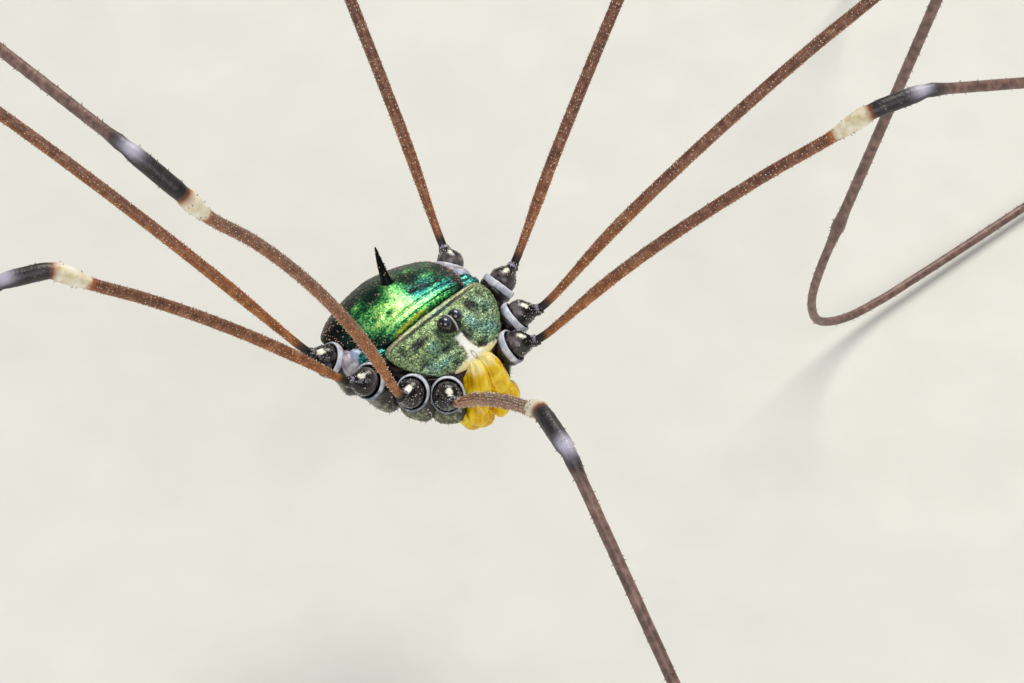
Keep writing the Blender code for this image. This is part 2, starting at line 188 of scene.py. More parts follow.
# soft patches of brighter or darker cuticle: (x, y, reach across, reach along, strength). The pale
# patches are a painted highlight on the dome's top, the first two lime ones, broad over its right
# front, are painted highlight too, and the other lime ones are the plate's own lime
PALE_PATCHES = [(-0.28, 2.30, 0.42, 0.46, 0.95), (-0.65, 1.60, 0.60, 0.26, 0.40),
                (-1.1, 1.18, 1.0, 0.16, 0.5), (-0.05, 1.15, 0.5, 0.14, 0.4)]
LIME_PATCHES = [(-1.55, 1.85, 0.95, 0.50, 0.75), (-0.6, 1.35, 1.7, 0.50, 0.45), (0.4, 3.1, 1.6, 0.4, 0.16),
                (-1.65, 2.98, 0.34, 0.20, 0.60), (1.22, 2.05, 0.36, 0.22, 0.62),
                (1.15, 2.95, 0.34, 0.14, 0.45), (-2.15, 2.75, 0.20, 0.14, 0.5),
                (-0.35, 2.75, 0.22, 0.20, 0.4), (0.9, 1.15, 0.7, 0.12, 0.35)]
TEAL_PATCHES = [(1.45, 1.22, 0.55, 0.16, 1.0), (0.35, 1.62, 0.45, 0.30, 0.8), (2.3, 1.3, 0.6, 0.5, 0.7),
                (-2.6, 2.2, 0.5, 0.5, 0.4), (0.9, 1.8, 0.9, 0.5, 0.55), (0.2, 1.2, 0.5, 0.2, 0.4)]
DARK_PATCHES = [(0.62, 1.85, 0.50, 0.26, 0.75), (1.15, 1.62, 0.75, 0.14, 0.7), (-1.2, 1.66, 0.20, 0.10, 1.3),
                (-1.75, 1.92, 0.22, 0.09, 0.8), (-0.9, 2.72, 0.55, 0.26, 0.8), (0.75, 2.5, 0.6, 0.36, 0.8),
                (2.2, 2.0, 0.5, 0.6, 0.55), (0.28, 1.80, 0.24, 0.08, 0.9), (-2.1, 1.25, 0.5, 0.2, 0.35)]
# a small point or granule as rings of (rise, thickness), with its tip at 1
POINTED = ((-0.25, 1.0), (0.45, 0.62))
DOMED = ((-0.3, 1.0), (0.45, 0.86), (0.88, 0.45))


def unit(vector):
    return vector / np.linalg.norm(vector)


def clip(value):
    return np.clip(value, 0, 1)


def bell(x, centre, width):
    return np.exp(-((x - centre) / width) ** 2)


def between(table, places, at):
    """Values on smooth curves through the rows of a table that stand at some places."""
    index = np.clip(np.searchsorted(places, at) - 1, 0, len(places) - 2)
    step = (places[index + 1] - places[index])[..., None]
    share = clip((at - places[index])[..., None] / step)
    slopes = np.gradient(table, places, axis=0)
    cube, square = share ** 3, share ** 2
    return ((2 * cube - 3 * square + 1) * table[index] + (cube - 2 * square + share) * step * slopes[index]
            + (3 * square - 2 * cube) * table[index + 1] + (cube - square) * step * slopes[index + 1])


def section_at(sections, y):
    """Half width, top and bottom of a shell at each y."""
    table = np.array(sections)
    return np.moveaxis(between(table[:, 1:], table[:, 0], y), -1, 0)


def circle(columns):
    """Cosines and sines of even steps round a turn."""
    turns = 2 * np.pi * np.arange(columns) / columns
    return np.cos(turns), np.sin(turns)


def shell_points(sections, rows, columns, rim_share, peak):
    """A grid of points round and along a shell. Column 0 is the left rim, and half of them are above."""
    y = np.linspace(sections[0][0], sections[-1][0], rows)
    half, top, bottom = section_at(sections, y)
    rim = bottom + rim_share * (top - bottom)
    c, s = circle(columns)
    x = half[:, None] * (np.sign(c) * np.abs(c) ** SECTION_POWER)[None]
    reach = np.where(s > 0, (top - rim)[:, None], (rim - bottom)[:, None])
    z = rim[:, None] + reach * (np.sign(s) * np.abs(s) ** peak)[None]
    return np.stack([x, np.repeat(y[:, None], columns, 1), z], axis=-1)


def outward(grid):
    """Unit normals of a grid that is closed round its columns."""
    around = np.roll(grid, -1, axis=1) - np.roll(grid, 1, axis=1)
    normal = np.cross(around, np.gradient(grid, axis=0))
    normal = normal / np.maximum(np.linalg.norm(normal, axis=-1, keepdims=True), 1e-12)
    return -normal if ((grid - grid.mean(axis=(0, 1))) * normal).sum() < 0 else normal


def patches(x, y, list_of_patches):
    """The sum of some soft patches at x, y."""
    return sum(strength * np.exp(-((x - px) / rx) ** 2 - ((y - py) / ry) ** 2)
               for px, py, rx, ry, strength in list_of_patches)


def grain(grid, size, detail=2, seed=0.0):
    """Smooth noise over a grid's points, from about -1 to 1, with features of a size in mm."""
    values = [noise.fractal(Vector(p), 0.9, 2.1, detail) for p in grid.reshape(-1, 3) / size + seed]
    return np.array(values).reshape(grid.shape[:-1])


def ripples(points):
    """Plain noise at each of an array of points."""
    return np.array([noise.noise(Vector(p)) for p in points.reshape(-1, 3)]).reshape(points.shape[:-1])


def grid_faces(rows, columns):
    """Quads of a grid closed round its columns, with its two ends capped."""
    index = np.arange(rows * columns).reshape(rows, columns)
    ahead = np.roll(index, -1, axis=1)
    quads = np.stack([index[:-1], ahead[:-1], ahead[1:], index[1:]], axis=-1).reshape(-1, 4)
    return quads.tolist() + [index[0][::-1].tolist(), index[-1].tolist()]


class Build:
    """Points, faces and masks of one piece as it grows, in mm in the body's own frame."""

    def __init__(self, *masks):
        self.points = []
        self.faces = []
        self.masks = {name: [] for name in masks}
        self.count = 0

    def add(self, points, faces, **values):
        """Adds points with faces numbered from 0, and a number or a list for each mask."""
        points = np.asarray(points, float).reshape(-1, 3)
        self.points.append(points)
        self.faces += [[self.count + i for i in face] for face in faces]
        self.count += len(points)
        for name, column in self.masks.items():
            value = np.asarray(values.get(name, 0.0), float)
            column.append(np.broadcast_to(value.reshape(-1) if value.ndim else value, len(points)))

    def add_grid(self, grid, **values):
        """Adds a grid that is closed round its columns."""
        self.add(grid, grid_faces(*grid.shape[:2]), **values)

    def stand(self, base, direction, width, height, rings, sides, **values):
        """Adds one small point or granule that stands on a base point, its root sunk in."""
        direction = np.array(direction)
        helper = (0.0, 0.0, 1.0) if abs(direction[2]) < 0.9 else (1.0, 0.0, 0.0)
        side = unit(np.cross(direction, helper))
        c, s = circle(sides)
        spokes = c[:, None] * side + s[:, None] * np.cross(side, direction)
        levels = [base + direction * height * rise + spokes * width * thick for rise, thick in rings]
        top = (len(rings) - 1) * sides
        turns = [(k, (k + 1) % sides) for k in range(sides)]
        faces = [[low + k, low + j, low + sides + j, low + sides + k]
                 for low in range(0, top, sides) for k, j in turns]
        faces += [[top + k, top + j, top + sides] for k, j in turns]
        self.add(np.concatenate(levels + [[base + direction * height]]), faces, **values)

    def finish(self, name, finish, slot, *nodes):
        """Makes the piece, lets it ride on the body, and has it stand for its nodes."""
        mesh = bpy.data.meshes.new(name)
        points = np.concatenate(self.points) * MM + np.array(BODY)
        mesh.from_pydata(points.tolist(), [], self.faces)
        for mask, column in self.masks.items():
            layer = mesh.attributes.new(mask, "FLOAT", "POINT")
            layer.data.foreach_set("value", np.concatenate(column).astype(np.float32))
        mesh.validate()
        mesh.shade_smooth()
        mesh.materials.append(finish)
        item = bpy.data.objects.new(name, mesh)
        bpy.context.scene.collection.objects.link(item)
        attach(item, "root")
        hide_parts(*nodes)


scutum_grid = shell_points(SCUTUM_SECTIONS, SCUTUM_ROWS, SCUTUM_COLUMNS, SCUTUM_RIM, SCUTUM_PEAK)
# the hind body leans a little to its left
lean = clip((scutum_grid[..., 1] - 1.5) / 1.6)
scutum_grid[..., 2] -= 0.26 * lean * clip(scutum_grid[..., 0] / 2.0)
scutum_grid[..., 0] -= 0.10 * lean * clip(-scutum_grid[..., 0] / 2.5)
scutum_normal = outward(scutum_grid)
sx, sy = scutum_grid[..., 0], scutum_grid[..., 1]
# pale: a painted highlight on the top of the dome; lime takes in half of it
pale = np.clip(patches(sx, sy, PALE_PATCHES), 0, 1.2)
lime = patches(sx, sy, LIME_PATCHES) + 0.5 * pale
dark_spots = patches(sx, sy, DARK_PATCHES)
side_share = np.abs(sx) / section_at(SCUTUM_SECTIONS, sy)[0]
seam = bell(sy + 0.02 * sx, TRANSVERSE_LINE, 0.022)
fold = bell(sy + 0.03 * sx, 1.27, 0.05)
# dark also holds painted shade in the groove behind the lip (seam) and in the fold behind it
dark = (dark_spots + 0.72 * clip((sy - 2.45) / 0.8) * clip(1 - lime) + 1.1 * clip((side_share - 0.76) / 0.24)
        + 0.5 * seam + 0.4 * bell(sy, 0.72, 0.03) + 0.30 * fold)
scutum_relief = (0.030 * bell(sy, 0.76, 0.07) - 0.035 * seam - 0.030 * fold - 0.045 * dark_spots
                 + 0.05 * bell(sx, 0, 0.5) * bell(sy, 2.75, 0.45) + 0.012 * grain(scutum_grid, 0.30, 3))
scutum_grid = scutum_grid + scutum_normal * scutum_relief[..., None]
scutum = Build("pale", "lime", "dark", "teal", "lip", "granule")
scutum.add_grid(scutum_grid, pale=pale, lime=lime, dark=dark, teal=patches(sx, sy, TEAL_PATCHES),
                lip=bell(sy, 0.83, 0.045) * clip((1.0 - np.abs(sx + 0.85)) / 0.5))
draw = random.Random(11)
placed = 0
while placed < GRANULE_COUNT:
    row, column = draw.randrange(8, SCUTUM_ROWS - 3), draw.randrange(2, SCUTUM_COLUMNS // 2 - 2)
    if draw.random() > 0.05 + 1.1 * min(1.0, dark[row, column]) - 0.8 * lime[row, column]:
        continue
    size = draw.uniform(0.017, 0.036)
    scutum.stand(scutum_grid[row, column], scutum_normal[row, column], size, size * 0.9, DOMED, 7,
                 granule=1.0, dark=0.6)
    placed += 1

along = np.linspace(0, 1, SPINE_ROWS)[:, None]
c, s = circle(SPINE_COLUMNS)
thick = (SPINE_WIDE * (1 - along) ** 0.8 + SPINE_FINE) * (1 + 0.9 * np.exp(-along / 0.08))
centres = SPINE_BASE + (SPINE_TIP - SPINE_BASE) * along + np.array((0, 0.05, 0)) * np.sin(np.pi * along)
knobs = 1 + 0.10 * ripples(np.stack(np.broadcast_arrays(c * 2, s * 2, along * 14), axis=-1))
spine_grid = centres[:, None] + np.stack([c, s * 0.93, -0.36 * s], axis=-1) * (thick * knobs)[..., None]
scutum.add_grid(spine_grid, dark=1.6)
for _ in range(SPINE_KNOBS):
    share, angle = draw.uniform(0.05, 0.9), draw.uniform(0, 2 * math.pi)
    way = np.array((math.cos(angle), math.sin(angle), 0.2))
    reach = way * (1, 0.93, 0) * (SPINE_WIDE * (1 - share) ** 0.8 + SPINE_FINE)
    scutum.stand(SPINE_BASE + (SPINE_TIP - SPINE_BASE) * share + reach, way, 0.026, 0.026, DOMED, 6,
                 dark=1.0, granule=1.0 if draw.random() < 0.4 else 0.0)


def layered(finish, tone, *layers):
    """Lays colours over a tone in turn, each as (mask by name or socket, weight, colour)."""
    for mask, weight, colour in layers:
        if isinstance(mask, str):
            mask = add_node(finish, "Attribute", {"attribute_name": mask}, out="Fac")
        if isinstance(colour, str):
            colour = linear(colour)
        share = add_node(finish, "Math", {"operation": "MULTIPLY", "use_clamp": True, 0: mask, 1: weight})
        tone = add_node(finish, "Mix", {"data_type": "RGBA", 0: share, 6: tone, 7: colour}, out=2)
    return tone


# Cuticle with a structural green: the layers shine like metal, in flecks 0.08 mm across that run
# from pale lime to black-green, so the plate glitters where it turns to the light.
iridescent, iridescent_shader = new_finish("cuticle_green_iridescent", Roughness=0.42)
place = add_node(iridescent, "TexCoord", {}, out="Object")
fleck = add_node(iridescent, "TexNoise",
                 {"Scale": per_mm(0.075), "Detail": 1.5, "Roughness": 0.6, "Vector": place})
spark = add_node(iridescent, "TexVoronoi", {"Scale": per_mm(0.085), "Vector": place}, out="Color")
spark = add_node(iridescent, "SeparateColor", {"Color": spark})
cloud = add_node(iridescent, "TexNoise", {"Scale": per_mm(0.32), "Detail": 3.0, "Vector": place})
lime_mask, dark_mask, lip_mask, granule_mask = (
    add_node(iridescent, "Attribute", {"attribute_name": name}, out="Fac")
    for name in ("lime", "dark", "lip", "granule"))
brightness = -0.58
for source, weight in ((fleck, 1.15), (spark, 0.30), (cloud, 0.55), (lime_mask, 0.50), (dark_mask, -0.40)):
    brightness = add_node(iridescent, "Math",
                          {"operation": "MULTIPLY_ADD", 0: source, 1: weight, 2: brightness})
greens, teals, pales = (add_node(iridescent, "ValToRGB", {"Fac": brightness}, stops) for stops in (
    [(0.05, "#050f0c"), (0.28, "#0e3626"), (0.50, "#217a48"), (0.70, "#6cc558"), (0.96, "#d4f29a")],
    [(0.05, "#050f10"), (0.32, "#0d4448"), (0.60, "#259a92"), (0.95, "#98e6dc")],
    [(0.10, "#17603c"), (0.45, "#5fbe6c"), (0.72, "#a4e68a"), (1.00, "#dff6b4")]))
lip_share = add_node(iridescent, "Math", {"operation": "MULTIPLY", "use_clamp": True, 0: lip_mask, 1: 1.5})
# the pale mask lays a painted highlight over the greens
shine = layered(iridescent, greens, ("teal", 1.0, teals), ("pale", 0.95, pales),
                (lip_share, fleck, "#d9d428"), (granule_mask, 1.0, "#b79078"))
metal = add_node(iridescent, "Math", {"operation": "MULTIPLY_ADD", 0: granule_mask, 1: -0.7, 2: 0.75})
relief = add_node(iridescent, "Bump", {"Strength": 0.5, "Distance": 0.00003, "Height": fleck})
join(iridescent_shader, {"Base Color": shine, "Metallic": metal, "Normal": relief})
scutum.finish("back_scutum", iridescent, "shell_green", "scutum")

# The carapace: the shield over the front of the body, with the mound that carries the eyes.
# Hard green cuticle wrinkled like worn leather, with a ridge along its hind edge, soft pits over
# the muscles, and an ivory band that runs down from the eyes to the mouthparts.
CARAPACE_SECTIONS = [
    (-1.90, 0.70, 0.13, -0.02), (-1.84, 1.00, 0.17, -0.02), (-1.60, 1.50, 0.30, 0.00),
    (-1.10, 2.10, 0.50, 0.08), (-0.50, 2.52, 0.80, 0.16), (0.05, 2.68, 0.95, 0.22),
    (0.46, 2.63, 0.95, 0.33), (0.58, 2.56, 0.90, 0.37), (0.66, 2.44, 0.82, 0.44)]
CARAPACE_RIM, CARAPACE_PEAK = 0.42, 0.9
CARAPACE_ROWS, CARAPACE_COLUMNS = 210, 320
SHIELD_GRANULES = 260
# (x, y, reach across, reach along, depth)
PITS = [(-1.57, -0.19, 0.34, 0.13, 1.0), (1.40, -0.24, 0.16, 0.30, 1.0), (-0.70, -0.98, 0.30, 0.10, 0.8),
        (0.36, -0.98, 0.12, 0.26, 0.8), (-2.24, 0.02, 0.16, 0.20, 0.6), (2.2, 0.0, 0.16, 0.2, 0.5),
        (-1.85, -0.92, 0.18, 0.10, 0.7), (1.75, -0.70, 0.14, 0.14, 0.4), (-0.62, -0.28, 0.16, 0.12, 0.5),
        (0.60, -1.62, 0.20, 0.14, 0.8), (-0.78, -1.62, 0.18, 0.12, 0.7), (-1.5, -0.66, 0.1, 0.1, 0.3)]
# soft humps and sea-green patches: (x, y, reach across, reach along, strength)
HUMPS = [(-0.95, -0.42, 0.62, 0.20, 1.0), (-1.30, -0.62, 0.34, 0.20, 0.7), (0.85, -0.62, 0.3, 0.4, 0.8),
         (-1.9, -0.45, 0.4, 0.25, 0.5), (1.5, -1.0, 0.4, 0.3, 0.6), (-1.2, -1.25, 0.5, 0.16, 0.5)]
SEA_PATCHES = [(-1.16, -0.64, 0.28, 0.16, 1.0), (-1.30, -1.30, 0.60, 0.15, 1.0),
               (-1.75, -1.05, 0.35, 0.14, 0.7), (0.87, -0.76, 0.26, 0.32, 1.1),
               (1.35, -1.25, 0.40, 0.30, 1.0), (1.9, -0.5, 0.3, 0.4, 0.6), (0.3, 0.40, 0.6, 0.08, 0.9),
               (-0.9, -0.85, 0.5, 0.12, 0.3)]
FRONT_EDGE = ((0.0, 0.7, 1.0, 1.5, 2.1), (-1.90, -1.88, -1.82, -1.58, -1.10))   # y of the edge at each x
BAND_FROM, BAND_TO = -0.78, -1.86     # y of the ivory band's two ends
BAND_ARM = (0.30, 1.18)               # x where an arm of its fork starts and ends
MOUND_CENTRE, MOUND_RADII = np.array((0.0, -0.40, 0.84)), np.array((0.50, 0.44, 0.52))
MOUND_ROWS, MOUND_COLUMNS = 44, 60


def ball(rows, columns, low=0.01, high=0.99):
    """Directions over a ball as a grid, from one share of the way down from its pole to another."""
    tilt = np.pi * np.linspace(low, high, rows)[:, None]
    c, s = circle(columns)
    return np.stack(np.broadcast_arrays(np.sin(tilt) * c, np.sin(tilt) * s, np.cos(tilt)), axis=-1)


carapace_grid = shell_points(CARAPACE_SECTIONS, CARAPACE_ROWS, CARAPACE_COLUMNS, CARAPACE_RIM, CARAPACE_PEAK)
carapace_normal = outward(carapace_grid)
cx, cy = carapace_grid[..., 0], carapace_grid[..., 1]
ragged = 0.05 * grain(carapace_grid, 0.12, 2, 21.0)
# how far inside the ivory band a point is, and inside its two arms that taper along the front edge
along = clip((BAND_FROM - cy) / (BAND_FROM - BAND_TO))
band_half = 0.21 + 0.06 * along + 0.20 * clip((along - 0.5) / 0.5) ** 2
arm_share = clip((np.abs(cx) - BAND_ARM[0]) / (BAND_ARM[1] - BAND_ARM[0]))
arm_depth = 0.27 * (1 - arm_share) ** 0.8 - (cy - np.interp(np.abs(cx), *FRONT_EDGE))
arm_depth = np.where(arm_share < 1, arm_depth, -1.0)
band_depth = np.maximum(np.minimum(band_half - np.abs(cx), BAND_FROM - cy), arm_depth)
band = clip((band_depth + ragged) / 0.05)
straw = clip((arm_depth + ragged) / 0.08) * clip((np.abs(cx) - 0.25) / 0.25)
straw = np.maximum(straw, 0.75 * clip((-1.72 - cy) / 0.12) * band)
loop_turn = np.sqrt(((cx + 0.05) / 0.07) ** 2 + ((cy + 1.72) / 0.15) ** 2)
umber = bell(band_depth, 0.01, 0.06) * clip(0.5 + 1.4 * grain(carapace_grid, 0.16, 2, 31.0))
umber = np.maximum(umber * (cy < -1.0), 0.9 * bell(loop_turn, 1, 0.28))
# the pits and the groove behind the ridge are also painted darker, as painted shade in their hollows
pits = patches(cx, cy, PITS) * (1 - band)
humps = patches(cx, cy, HUMPS)
worms = 1 - 2.2 * np.abs(grain(carapace_grid, 0.16, 2, 5.0))
ridge = bell(cy + 0.01 * cx ** 2, 0.53, 0.09)
groove = bell(cy - 0.02 * cx ** 2, 0.33, 0.05)
plain = clip(1 - band * 1.2)
carapace_relief = (0.012 * worms * plain + 0.040 * ridge - 0.050 * groove - 0.120 * pits
                   + 0.090 * humps * plain + 0.030 * grain(carapace_grid, 0.6, 2, 9.0) * plain
                   + 0.02 * clip(band_depth * 6))
carapace_grid = carapace_grid + carapace_normal * carapace_relief[..., None]
rim = clip((0.17 - carapace_grid[..., 2] - 0.04 * np.sin(cx * 6)) / 0.08) * (band < 0.5)
carapace = Build("band", "straw", "umber", "pit", "crest", "sea", "ridge", "rim", "mound")
# crest: painted light on the wrinkle crests and humps, painted shade in the folds between them
carapace.add_grid(carapace_grid, band=band, straw=straw, umber=umber, ridge=ridge, rim=rim,
                  pit=np.clip(pits + groove * 0.75, 0, 1.2), crest=worms + 0.4 * humps,
                  sea=clip(patches(cx, cy, SEA_PATCHES)))
draw = random.Random(17)
for _ in range(SHIELD_GRANULES):
    row, column = draw.randrange(20, CARAPACE_ROWS - 2), draw.randrange(4, CARAPACE_COLUMNS // 2 - 4)
    if band[row, column] > 0 or pits[row, column] > 0.4:
        continue
    size = draw.uniform(0.013, 0.026)
    carapace.stand(carapace_grid[row, column], carapace_normal[row, column], size, size, DOMED, 6,
                   ridge=1.4, crest=0.5)

# the low black mound between the eyes, with a pale line along its top
mound_aims = ball(MOUND_ROWS, MOUND_COLUMNS, 0.02, 0.62)
swell = 1 + 0.02 * ripples(mound_aims * 9) + 0.05 * bell(mound_aims[..., 0], 0, 0.12)
mound_grid = MOUND_CENTRE + MOUND_RADII * mound_aims * swell[..., None]
carapace.add_grid(mound_grid, mound=clip((mound_grid[..., 2] - 0.86) / 0.10), crest=0.2,
                  band=bell(mound_grid[..., 0], 0, 0.030) * (mound_grid[..., 2] > 0.9) * 0.8)

# Wrinkled green cuticle: worm-like crests 0.1 mm wide in pale olive and sea-green with near-black folds
# between them, partly the cuticle's own tone and partly painted light on the crests and painted shade in
# the folds, less metallic than the back. The ivory band is dull, smooth and stained umber.
leathery, leathery_shader = new_finish("cuticle_green_wrinkled", Roughness=0.40)
place = add_node(leathery, "TexCoord", {}, out="Object")
worm = add_node(leathery, "TexNoise",
                {"Scale": per_mm(0.11), "Detail": 1.0, "Distortion": 1.4, "Vector": place})
fine = add_node(leathery, "TexNoise", {"Scale": per_mm(0.05), "Detail": 1.0, "Vector": place})
cloud = add_node(leathery, "TexNoise", {"Scale": per_mm(0.45), "Detail": 3.0, "Vector": place})
band_mask, pit_mask, crest_mask, sea_mask, ridge_mask = (
    add_node(leathery, "Attribute", {"attribute_name": name}, out="Fac")
    for name in ("band", "pit", "crest", "sea", "ridge"))
brightness = -0.60
# the worm noise that makes the bump also paints light on its crests and shade in its folds
for source, weight in ((worm, 1.15), (fine, 0.80), (crest_mask, 0.16), (pit_mask, -0.42), (ridge_mask, 0.22)):
    brightness = add_node(leathery, "Math",
                          {"operation": "MULTIPLY_ADD", 0: source, 1: weight, 2: brightness})
olives, seas, sea_share = (add_node(leathery, "ValToRGB", {"Fac": source}, stops) for source, stops in (
    (brightness, [(0.05, "#19171b"), (0.32, "#435a3a"), (0.58, "#7f9862"), (0.88, "#d2d09e")]),
    (brightness, [(0.05, "#19191f"), (0.32, "#375a54"), (0.58, "#6ca494"), (0.88, "#bcdcc8")]),
    (cloud, [(0.44, "#000000"), (0.62, "#6a6a6a")])))
sea_share = add_node(leathery, "Math", {"operation": "ADD", "use_clamp": True, 0: sea_share, 1: sea_mask})
# pit_mask lays painted shade, dark purple, in the pits and the groove
tone = layered(leathery, olives, (sea_share, 1.0, seas), (pit_mask, 0.62, "#2c2833"),
               (ridge_mask, 0.45, "#c3b493"), ("rim", 0.92, "#3d2320"), ("mound", 1.0, "#0c0a0a"),
               (band_mask, 0.97, "#eceee6"), ("straw", 0.85, "#e0cf84"), ("umber", 0.80, "#6b4f38"))
metal = add_node(leathery, "Math",
                 {"operation": "MULTIPLY_ADD", "use_clamp": True, 0: band_mask, 1: -0.6, 2: 0.42})
relief = add_node(leathery, "Bump", {"Strength": 0.45, "Distance": 0.00004, "Height": worm})
join(leathery_shader, {"Base Color": tone, "Metallic": metal, "Normal": relief})
carapace.finish("carapace_shield", leathery, "shell_green", "carapace")

# The eyes: two black lenses on the sides of the mound.
# Each is a smooth dome of clear cuticle over a dark cup, so it looks like polished glass, and its
# upper side holds a painted reflection: a dim violet-blue sheen of the sky on the clear cornea.
EYE_RADIUS = 0.30
EYE_FLATNESS = 0.96
EYE_ROWS, EYE_COLUMNS = 40, 56
lens_black, lens_shader = new_finish("cornea_polished_black", Roughness=0.06,
                                     Coat_Weight=1.0, Coat_Roughness=0.02)
place = add_node(lens_black, "TexCoord", {}, out="Object")
depth = add_node(lens_black, "TexNoise", {"Scale": per_mm(0.25), "Detail": 1.0, "Vector": place})
depth_tone = add_node(lens_black, "ValToRGB", {"Fac": depth}, [(0.4, "#060507"), (0.75, "#15111a")])
join(lens_shader, {"Base Color": layered(lens_black, depth_tone, ("glow", 1.0, "#4a5170"))})
lens_aims = ball(EYE_ROWS, EYE_COLUMNS)
for side, word in ((1, "left"), (-1, "right")):
    aims = np.stack([side * EYE_FLATNESS * lens_aims[..., 2], lens_aims[..., 0], lens_aims[..., 1]], axis=-1)
    # glow: a painted reflection, violet-blue, where the lens faces up
    glow = clip((aims @ np.array((0.30, -0.10, 0.95)) - 0.62) / 0.30) * clip(aims[..., 0] * 2 + 1.2)
    lens = Build("glow")
    lens.add_grid(np.array((side * 0.29, -0.42, 1.17)) + EYE_RADIUS * aims, glow=0.6 * glow)
    lens.finish(f"eye_lens_{word}", lens_black, "eye", f"eye_{word}")

# The flanks: soft skin between the plates and the leg roots.
# Dark leathery cuticle that folds under the carapace, with a teal lobe behind each hind corner of
# the carapace and a pale stretched membrane before each hind leg.
FLANK_SECTIONS = [
    (-1.92, 0.90, 0.02, -1.20), (-1.60, 1.62, 0.20, -1.50), (-1.10, 2.28, 0.34, -1.80),
    (-0.50, 2.66, 0.44, -1.95), (0.30, 2.86, 0.50, -2.00), (1.10, 2.90, 0.48, -2.00),
    (2.00, 2.96, 0.40, -1.85), (2.90, 2.80, 0.20, -1.60), (3.70, 2.20, -0.10, -1.30),
    (4.10, 1.30, -0.40, -1.05)]
FLANK_ROWS, FLANK_COLUMNS = 120, 160
FLANK_RIM, FLANK_PEAK = 0.80, 0.9
LOBE_ROWS, LOBE_COLUMNS = 30, 44
# (middle, radii, mask) of each side's lobes
LOBES = [((2.50, 1.00, 0.14), (0.62, 0.36, 0.30), "teal"), ((2.70, 1.34, 0.04), (0.44, 0.32, 0.32), "teal"),
         ((2.90, 1.72, -0.08), (0.32, 0.36, 0.30), "blue"), ((3.10, 1.90, -0.44), (0.42, 0.66, 0.50), "pale"),
         ((3.14, 1.52, -0.62), (0.32, 0.42, 0.44), "pale")]


def lobe(middle, radii, rough, seed=0.0):
    """A soft rounded lobe as a closed grid of points."""
    aims = ball(LOBE_ROWS, LOBE_COLUMNS)
    swell = 1 + rough * ripples(aims * 3.5 + (seed, 0, 0))
    return np.array(middle) + np.array(radii) * aims * swell[..., None]


flank = Build("teal", "blue", "pale", "fold")
flank_grid = shell_points(FLANK_SECTIONS, FLANK_ROWS, FLANK_COLUMNS, FLANK_RIM, FLANK_PEAK)
pleats = np.sin(flank_grid[..., 2] * 34 + 1.6 * np.sin(flank_grid[..., 1] * 4.2)
                + 2.0 * grain(flank_grid, 0.6, 1, 3.0))
# fold also colours the hide: painted light on the raised pleats and painted shade between them
flank_folds = 0.5 * pleats + 0.6 * grain(flank_grid, 0.22, 2, 3.0)
flank.add_grid(flank_grid + outward(flank_grid) * (0.035 * flank_folds)[..., None], fold=flank_folds)
for side in (1, -1):
    for number, (middle, radii, coat) in enumerate(LOBES):
        middle = (side * middle[0], *middle[1:])
        flank.add_grid(lobe(middle, radii, 0.06, side + 2 * number), fold=0.3, **{coat: 1.0})

# Soft skin: a dark maroon hide that looks wet in its folds, with painted light on the crests of the
# folds and painted shade in their hollows, teal scales on the lobes and milky stretched membrane.
hide, hide_shader = new_finish("cuticle_soft_maroon", Roughness=0.30)
place = add_node(hide, "TexCoord", {}, out="Object")
fleck = add_node(hide, "TexNoise",
                 {"Scale": per_mm(0.09), "Detail": 1.5, "Distortion": 0.8, "Vector": place})
stain = add_node(hide, "TexNoise", {"Scale": per_mm(0.30), "Detail": 4.0, "Vector": place})
fold_mask, teal_mask = (add_node(hide, "Attribute", {"attribute_name": name}, out="Fac")
                        for name in ("fold", "teal"))
hide_tone, scale_tone, blue_tone, milky_tone = (
    add_node(hide, "ValToRGB", {"Fac": source}, stops) for source, stops in (
    (fold_mask, [(0.0, "#140c0d"), (0.5, "#33201e"), (1.0, "#664844")]),
    (fleck, [(0.30, "#0d2426"), (0.46, "#1b5856"), (0.58, "#2b8a80"), (0.72, "#6cc4b0")]),
    (stain, [(0.3, "#7c90ac"), (0.5, "#a4b4d2"), (0.7, "#d2daee")]),
    (stain, [(0.28, "#6e666c"), (0.44, "#a19aa2"), (0.60, "#cfcad2"), (0.75, "#ebe8ee")])))
tone = layered(hide, hide_tone, (teal_mask, 1.0, scale_tone), ("blue", 1.0, blue_tone),
               ("pale", 1.0, milky_tone))
metal = add_node(hide, "Math", {"operation": "MULTIPLY", 0: teal_mask, 1: 0.7})
relief = add_node(hide, "Bump", {"Strength": 0.4, "Distance": 0.00003, "Height": fleck})
join(hide_shader, {"Base Color": tone, "Metallic": metal, "Normal": relief})
flank.finish("flank_skin", hide, "belly")

# The leg roots: eight coxae, each with its open ring, and the trochanters that turn in them.
# The coxa is a stout plate of dark glossy cuticle from the sternum out to the ring. A milky
# membrane seals the ring, and the trochanter in it is a glossy black bulb that narrows to the
# femur, with a cream highlight painted on top and small tubercles near its end.
TROCHANTERS = {1: (1.96, -2.09, -0.20), 2: (3.09, -1.23, 0.08), 3: (3.88, 0.37, 0.23), 4: (3.69, 2.95, -0.22)}
COXA_ROOTS = {1: (0.86, -1.20), 2: (0.98, -0.40), 3: (0.98, 0.50), 4: (0.92, 1.40)}
COXA_SECTIONS = [(0.00, 0.40, -0.80, -2.06), (0.35, 0.60, -0.50, -2.22), (0.60, 0.68, -0.26, -2.16),
                 (0.78, 0.66, -0.06, -1.96)]   # (share of the way out, half width, top, bottom)
COXA_WIDENING = {1: 1.0, 2: 1.05, 3: 1.25, 4: 1.25}
COXA_SQUARENESS = 0.72                # under 1, a section is boxier than an ellipse
COXA_LIFT = math.radians(35)
COXA_ROWS, COXA_COLUMNS = 70, 56
COXA_BUMPS = 170
